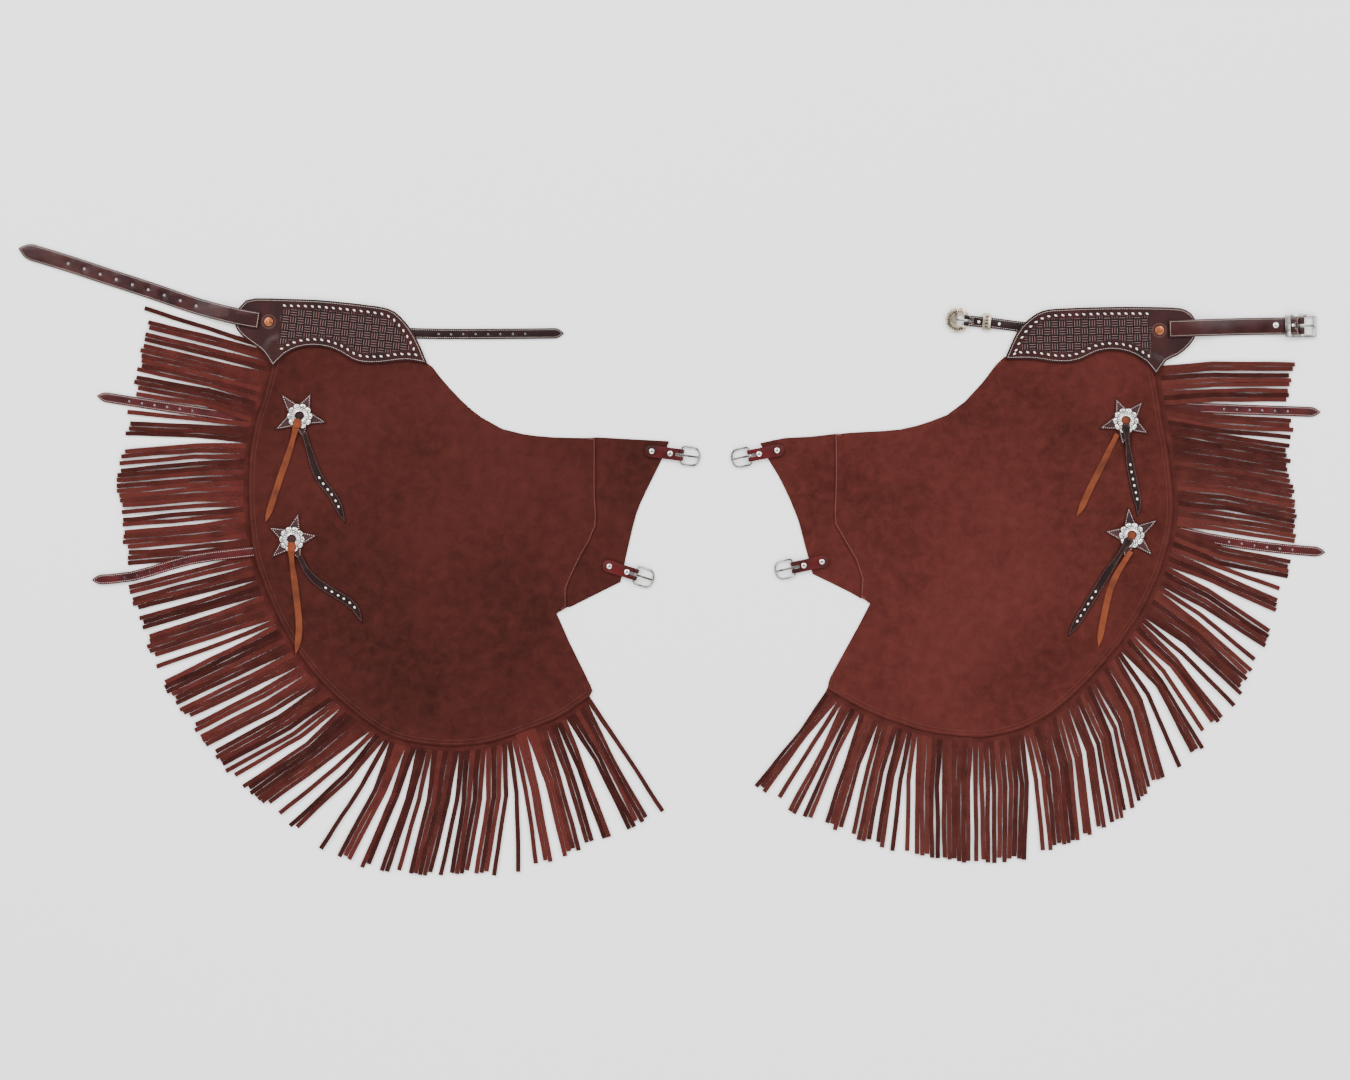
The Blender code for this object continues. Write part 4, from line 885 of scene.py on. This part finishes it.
def bright_metal(name, light, dark, roughness, low=0.3, high=0.6, mark_width=6.3):
    """Cast metal, polished, with small dark marks scattered at random, rougher where darker."""
    material, shader = new_material(name, Metallic=1.0)
    place = add_node(material, "ShaderNodeTexCoord")
    tarnish = add_node(material, "ShaderNodeTexNoise", [("Vector", place, "Object")],
                       Scale=1000 / mark_width, Detail=4.0)
    ramp = add_node(material, "ShaderNodeValToRGB", [("Fac", tarnish, "Fac")])
    ramp.color_ramp.elements[0].color = srgb(dark)
    ramp.color_ramp.elements[0].position = low
    ramp.color_ramp.elements[1].color = srgb(light)
    ramp.color_ramp.elements[1].position = high
    rough = add_node(material, "ShaderNodeMapRange", [("Value", tarnish, "Fac")],
                     To_Min=roughness * 1.6, To_Max=roughness)
    material.node_tree.links.new(ramp.outputs["Color"], shader.inputs["Base Color"])
    material.node_tree.links.new(rough.outputs["Result"], shader.inputs["Roughness"])
    return material


nickel = bright_metal("polished_nickel", "#eceae6", "#a19e9a", 0.16)
# Dark nickel: painted shade in the bosses' low places, and the rosette's petals and the keeper's marks
dark_nickel = bright_metal("dark_nickel_metal", "#4a4542", "#171413", 0.4)
plated = bright_metal("nickel_plated_steel", "#b4b1ac", "#4c4845", 0.22, 0.35, 0.62, 9.0)
copper = bright_metal("solid_copper", "#b46f4a", "#6b3520", 0.3)
warm_silver = bright_metal("antiqued_silver", "#d8c9b0", "#5f5242", 0.24)

PETALS = 10
BOSS_R = 19.8
BOSS_LINE = [(1.0, 0.0), (1.0, 0.9), (0.975, 1.5), (0.93, 1.9), (0.87, 2.15), (0.81, 2.3),
             (0.75, 2.35), (0.705, 2.2), (0.68, 1.9), (0.655, 2.5), (0.6, 2.95), (0.54, 3.0),
             (0.49, 2.75), (0.465, 2.5), (0.44, 2.9), (0.4, 3.0), (0.365, 2.7), (0.36, 2.2),
             (0.36, 0.0)]


def flower(place):
    """A boss turned with ten domed petals round an engraved band and a plain collar."""
    bm = turned([(share * BOSS_R, height) for share, height in BOSS_LINE], PETALS * 12,
                Matrix.Identity(4))
    for v in bm.verts:
        share = v.co.xy.length / (BOSS_R * MM)
        petal = abs(math.cos(math.atan2(v.co.y, v.co.x) * PETALS / 2))
        if share > 0.7:
            inward = (1 - petal) * (share - 0.7) / 0.3
            v.co.xy *= 1 - 0.13 * inward
            if v.co.z > 0.5 * MM:
                bulge = math.sin(math.pi * min(1.0, (share - 0.7) / 0.3))
                v.co.z += (0.75 * petal - 0.9 * (1 - petal) ** 2) * bulge * MM
        elif share > 0.47 and v.co.z > 0.5 * MM:
            rib = abs(math.cos(math.atan2(v.co.y, v.co.x) * PETALS))
            v.co.z -= 0.55 * (1 - rib) ** 1.5 * MM
    bm.transform(place)
    return bm


def cap(node, material, line, slot):
    """A domed head turned in the place of its plain node."""
    low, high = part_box(node)
    radius = (high[0] - low[0]) / 2 / MM
    rise = (high[2] - low[2]) / MM
    place = Matrix.Translation(((low[0] + high[0]) / 2, (low[1] + high[1]) / 2, low[2]))
    bm = turned([(r * radius, z * rise) for r, z in line], 32, place)
    return finish_piece(node + "_head", bm, material, [node], slot=slot)


DOMED = [(0.0, 1.0), (0.3, 0.96), (0.56, 0.83), (0.78, 0.62), (0.93, 0.36), (1.0, 0.14),
         (1.0, 0.0), (0.0, 0.0)]
BURRED = [(0.0, 1.0), (0.22, 0.97), (0.4, 0.84), (0.5, 0.6), (0.54, 0.46), (0.86, 0.4),
          (0.97, 0.3), (1.0, 0.15), (1.0, 0.0), (0.0, 0.0)]

for side in ("left", "right"):
    cap(side + "_rivet", copper, BURRED, "copper")
    for level in ("upper", "lower"):
        node = f"{side}_boss_{level}"
        low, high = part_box(node)
        place = Matrix.Translation(((low[0] + high[0]) / 2, (low[1] + high[1]) / 2, low[2]))
        dish = finish_piece(f"{side}_{level}_petal_boss", flower(place), nickel, [node],
                            slot="silver", angle=50)
        dish.data.materials.append(dark_nickel)
        # Painted shade: the grooves between the petals, the cuts of the band, the collar's groove and
        # the hole take the dark nickel
        for face in dish.data.polygons:
            spot = (face.center - place.translation) / (BOSS_R * MM)
            share = spot.xy.length
            turn = math.atan2(spot.y, spot.x)
            between = share > 0.7 and abs(math.cos(turn * PETALS / 2)) < 0.3
            carved = 0.5 < share < 0.64 and abs(math.cos(turn * PETALS)) < 0.4
            if between or carved or 0.655 < share < 0.695 or share < 0.365:
                face.material_index = 1
for node in ("waist_stud_outer", "waist_stud_inner", "front_stud_outer", "front_stud_inner"):
    cap(node, nickel, DOMED, "silver")

# Cast frames and prongs, their edges rounded, each on the body that it turns with
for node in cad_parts:
    if node.endswith("_frame") or node.endswith("_prong") or node == "front_keeper":
        bm = merged_copy(node)
        soften_rim(bm, 0.45, 38, 2)
        metal = warm_silver if node in ("front_buckle_frame", "front_keeper") else plated
        finish_piece(node + "_cast", bm, metal, [node], slot="silver",
                     body="cloth" if node == "front_keeper" else node + "_body")

# Snaps of the four buckle tabs: x, y of the tab's round end and of the buckle
TABS = {
    "left_upper_tab": (-41, 167, 28, 158), "left_lower_tab": (-105, -6, -42, -26),
    "right_upper_tab": (170, 169, 105, 156), "right_lower_tab": (238, 0, 171, -14),
}
SNAP_PLACES = (10.5, 38.5)
SNAP_RADIUS = 4.4
for node, (x0, y0, x1, y1) in TABS.items():
    height = surface_of(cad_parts[node])
    way = Vector((x1 - x0, y1 - y0)).normalized()
    for number, far in enumerate(SNAP_PLACES):
        spot = Vector((x0, y0 - CENTRE_Y)) + way * far
        place = Matrix.Translation((spot.x * MM, spot.y * MM, height(*spot)))
        bm = turned([(r * SNAP_RADIUS, z * 1.7) for r, z in DOMED], 28, place)
        finish_piece(f"{node}_snap_{number + 1}", bm, nickel, slot="silver")

# Rope edge and petals of the rosette buckle, and the marks punched in the keeper
ROSETTE = (434.1, 364.4)
ROSETTE_TOP = 5.25
ROSETTE_BEARING = math.radians(175)
KEEPER_MARKS = (-7.5, -2.5, 2.5, 7.5)
rope = bmesh.new()
petals = bmesh.new()
for bm, radius, count, size, rise in ((rope, 17.1, 34, (2.9, 2.1, 1.3), 0.0),
                                      (petals, 13.6, 24, (3.2, 2.3, 0.9), 0.0)):
    for k in range(count):
        angle = math.tau * k / count
        x, y = radius * math.cos(angle), radius * math.sin(angle)
        if x < 2.6 and abs(y) < 10.6:
            continue
        place = (Matrix.Translation((ROSETTE[0] * MM, (ROSETTE[1] - CENTRE_Y) * MM,
                                     (ROSETTE_TOP + rise) * MM))
                 @ Matrix.Rotation(ROSETTE_BEARING, 4, "Z")
                 @ Matrix.Translation((x * MM, y * MM, 0))
                 @ Matrix.Rotation(angle + (0.5 if bm is rope else 0.0), 4, "Z")
                 @ Matrix.Diagonal((*[side_length / 2 * MM for side_length in size], 1)))
        bmesh.ops.create_icosphere(bm, subdivisions=2, radius=1.0, matrix=place)
finish_piece("rosette_rope_edge", rope, warm_silver, body="front_buckle_frame_body", slot="silver")
finish_piece("rosette_petals", petals, dark_nickel, body="front_buckle_frame_body", slot="silver")
low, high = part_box("front_keeper")
marks = bmesh.new()
for step in KEEPER_MARKS:
    place = (Matrix.Translation(((low[0] + high[0]) / 2 + 0.1 * step * MM,
                                 (low[1] + high[1]) / 2 + step * MM, high[2]))
             @ Matrix.Diagonal((2.6 * MM, 1.3 * MM, 0.3 * MM, 1)))
    bmesh.ops.create_icosphere(marks, subdivisions=2, radius=1.0, matrix=place)
finish_piece("keeper_marks", marks, dark_nickel, slot="silver")

low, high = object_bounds()
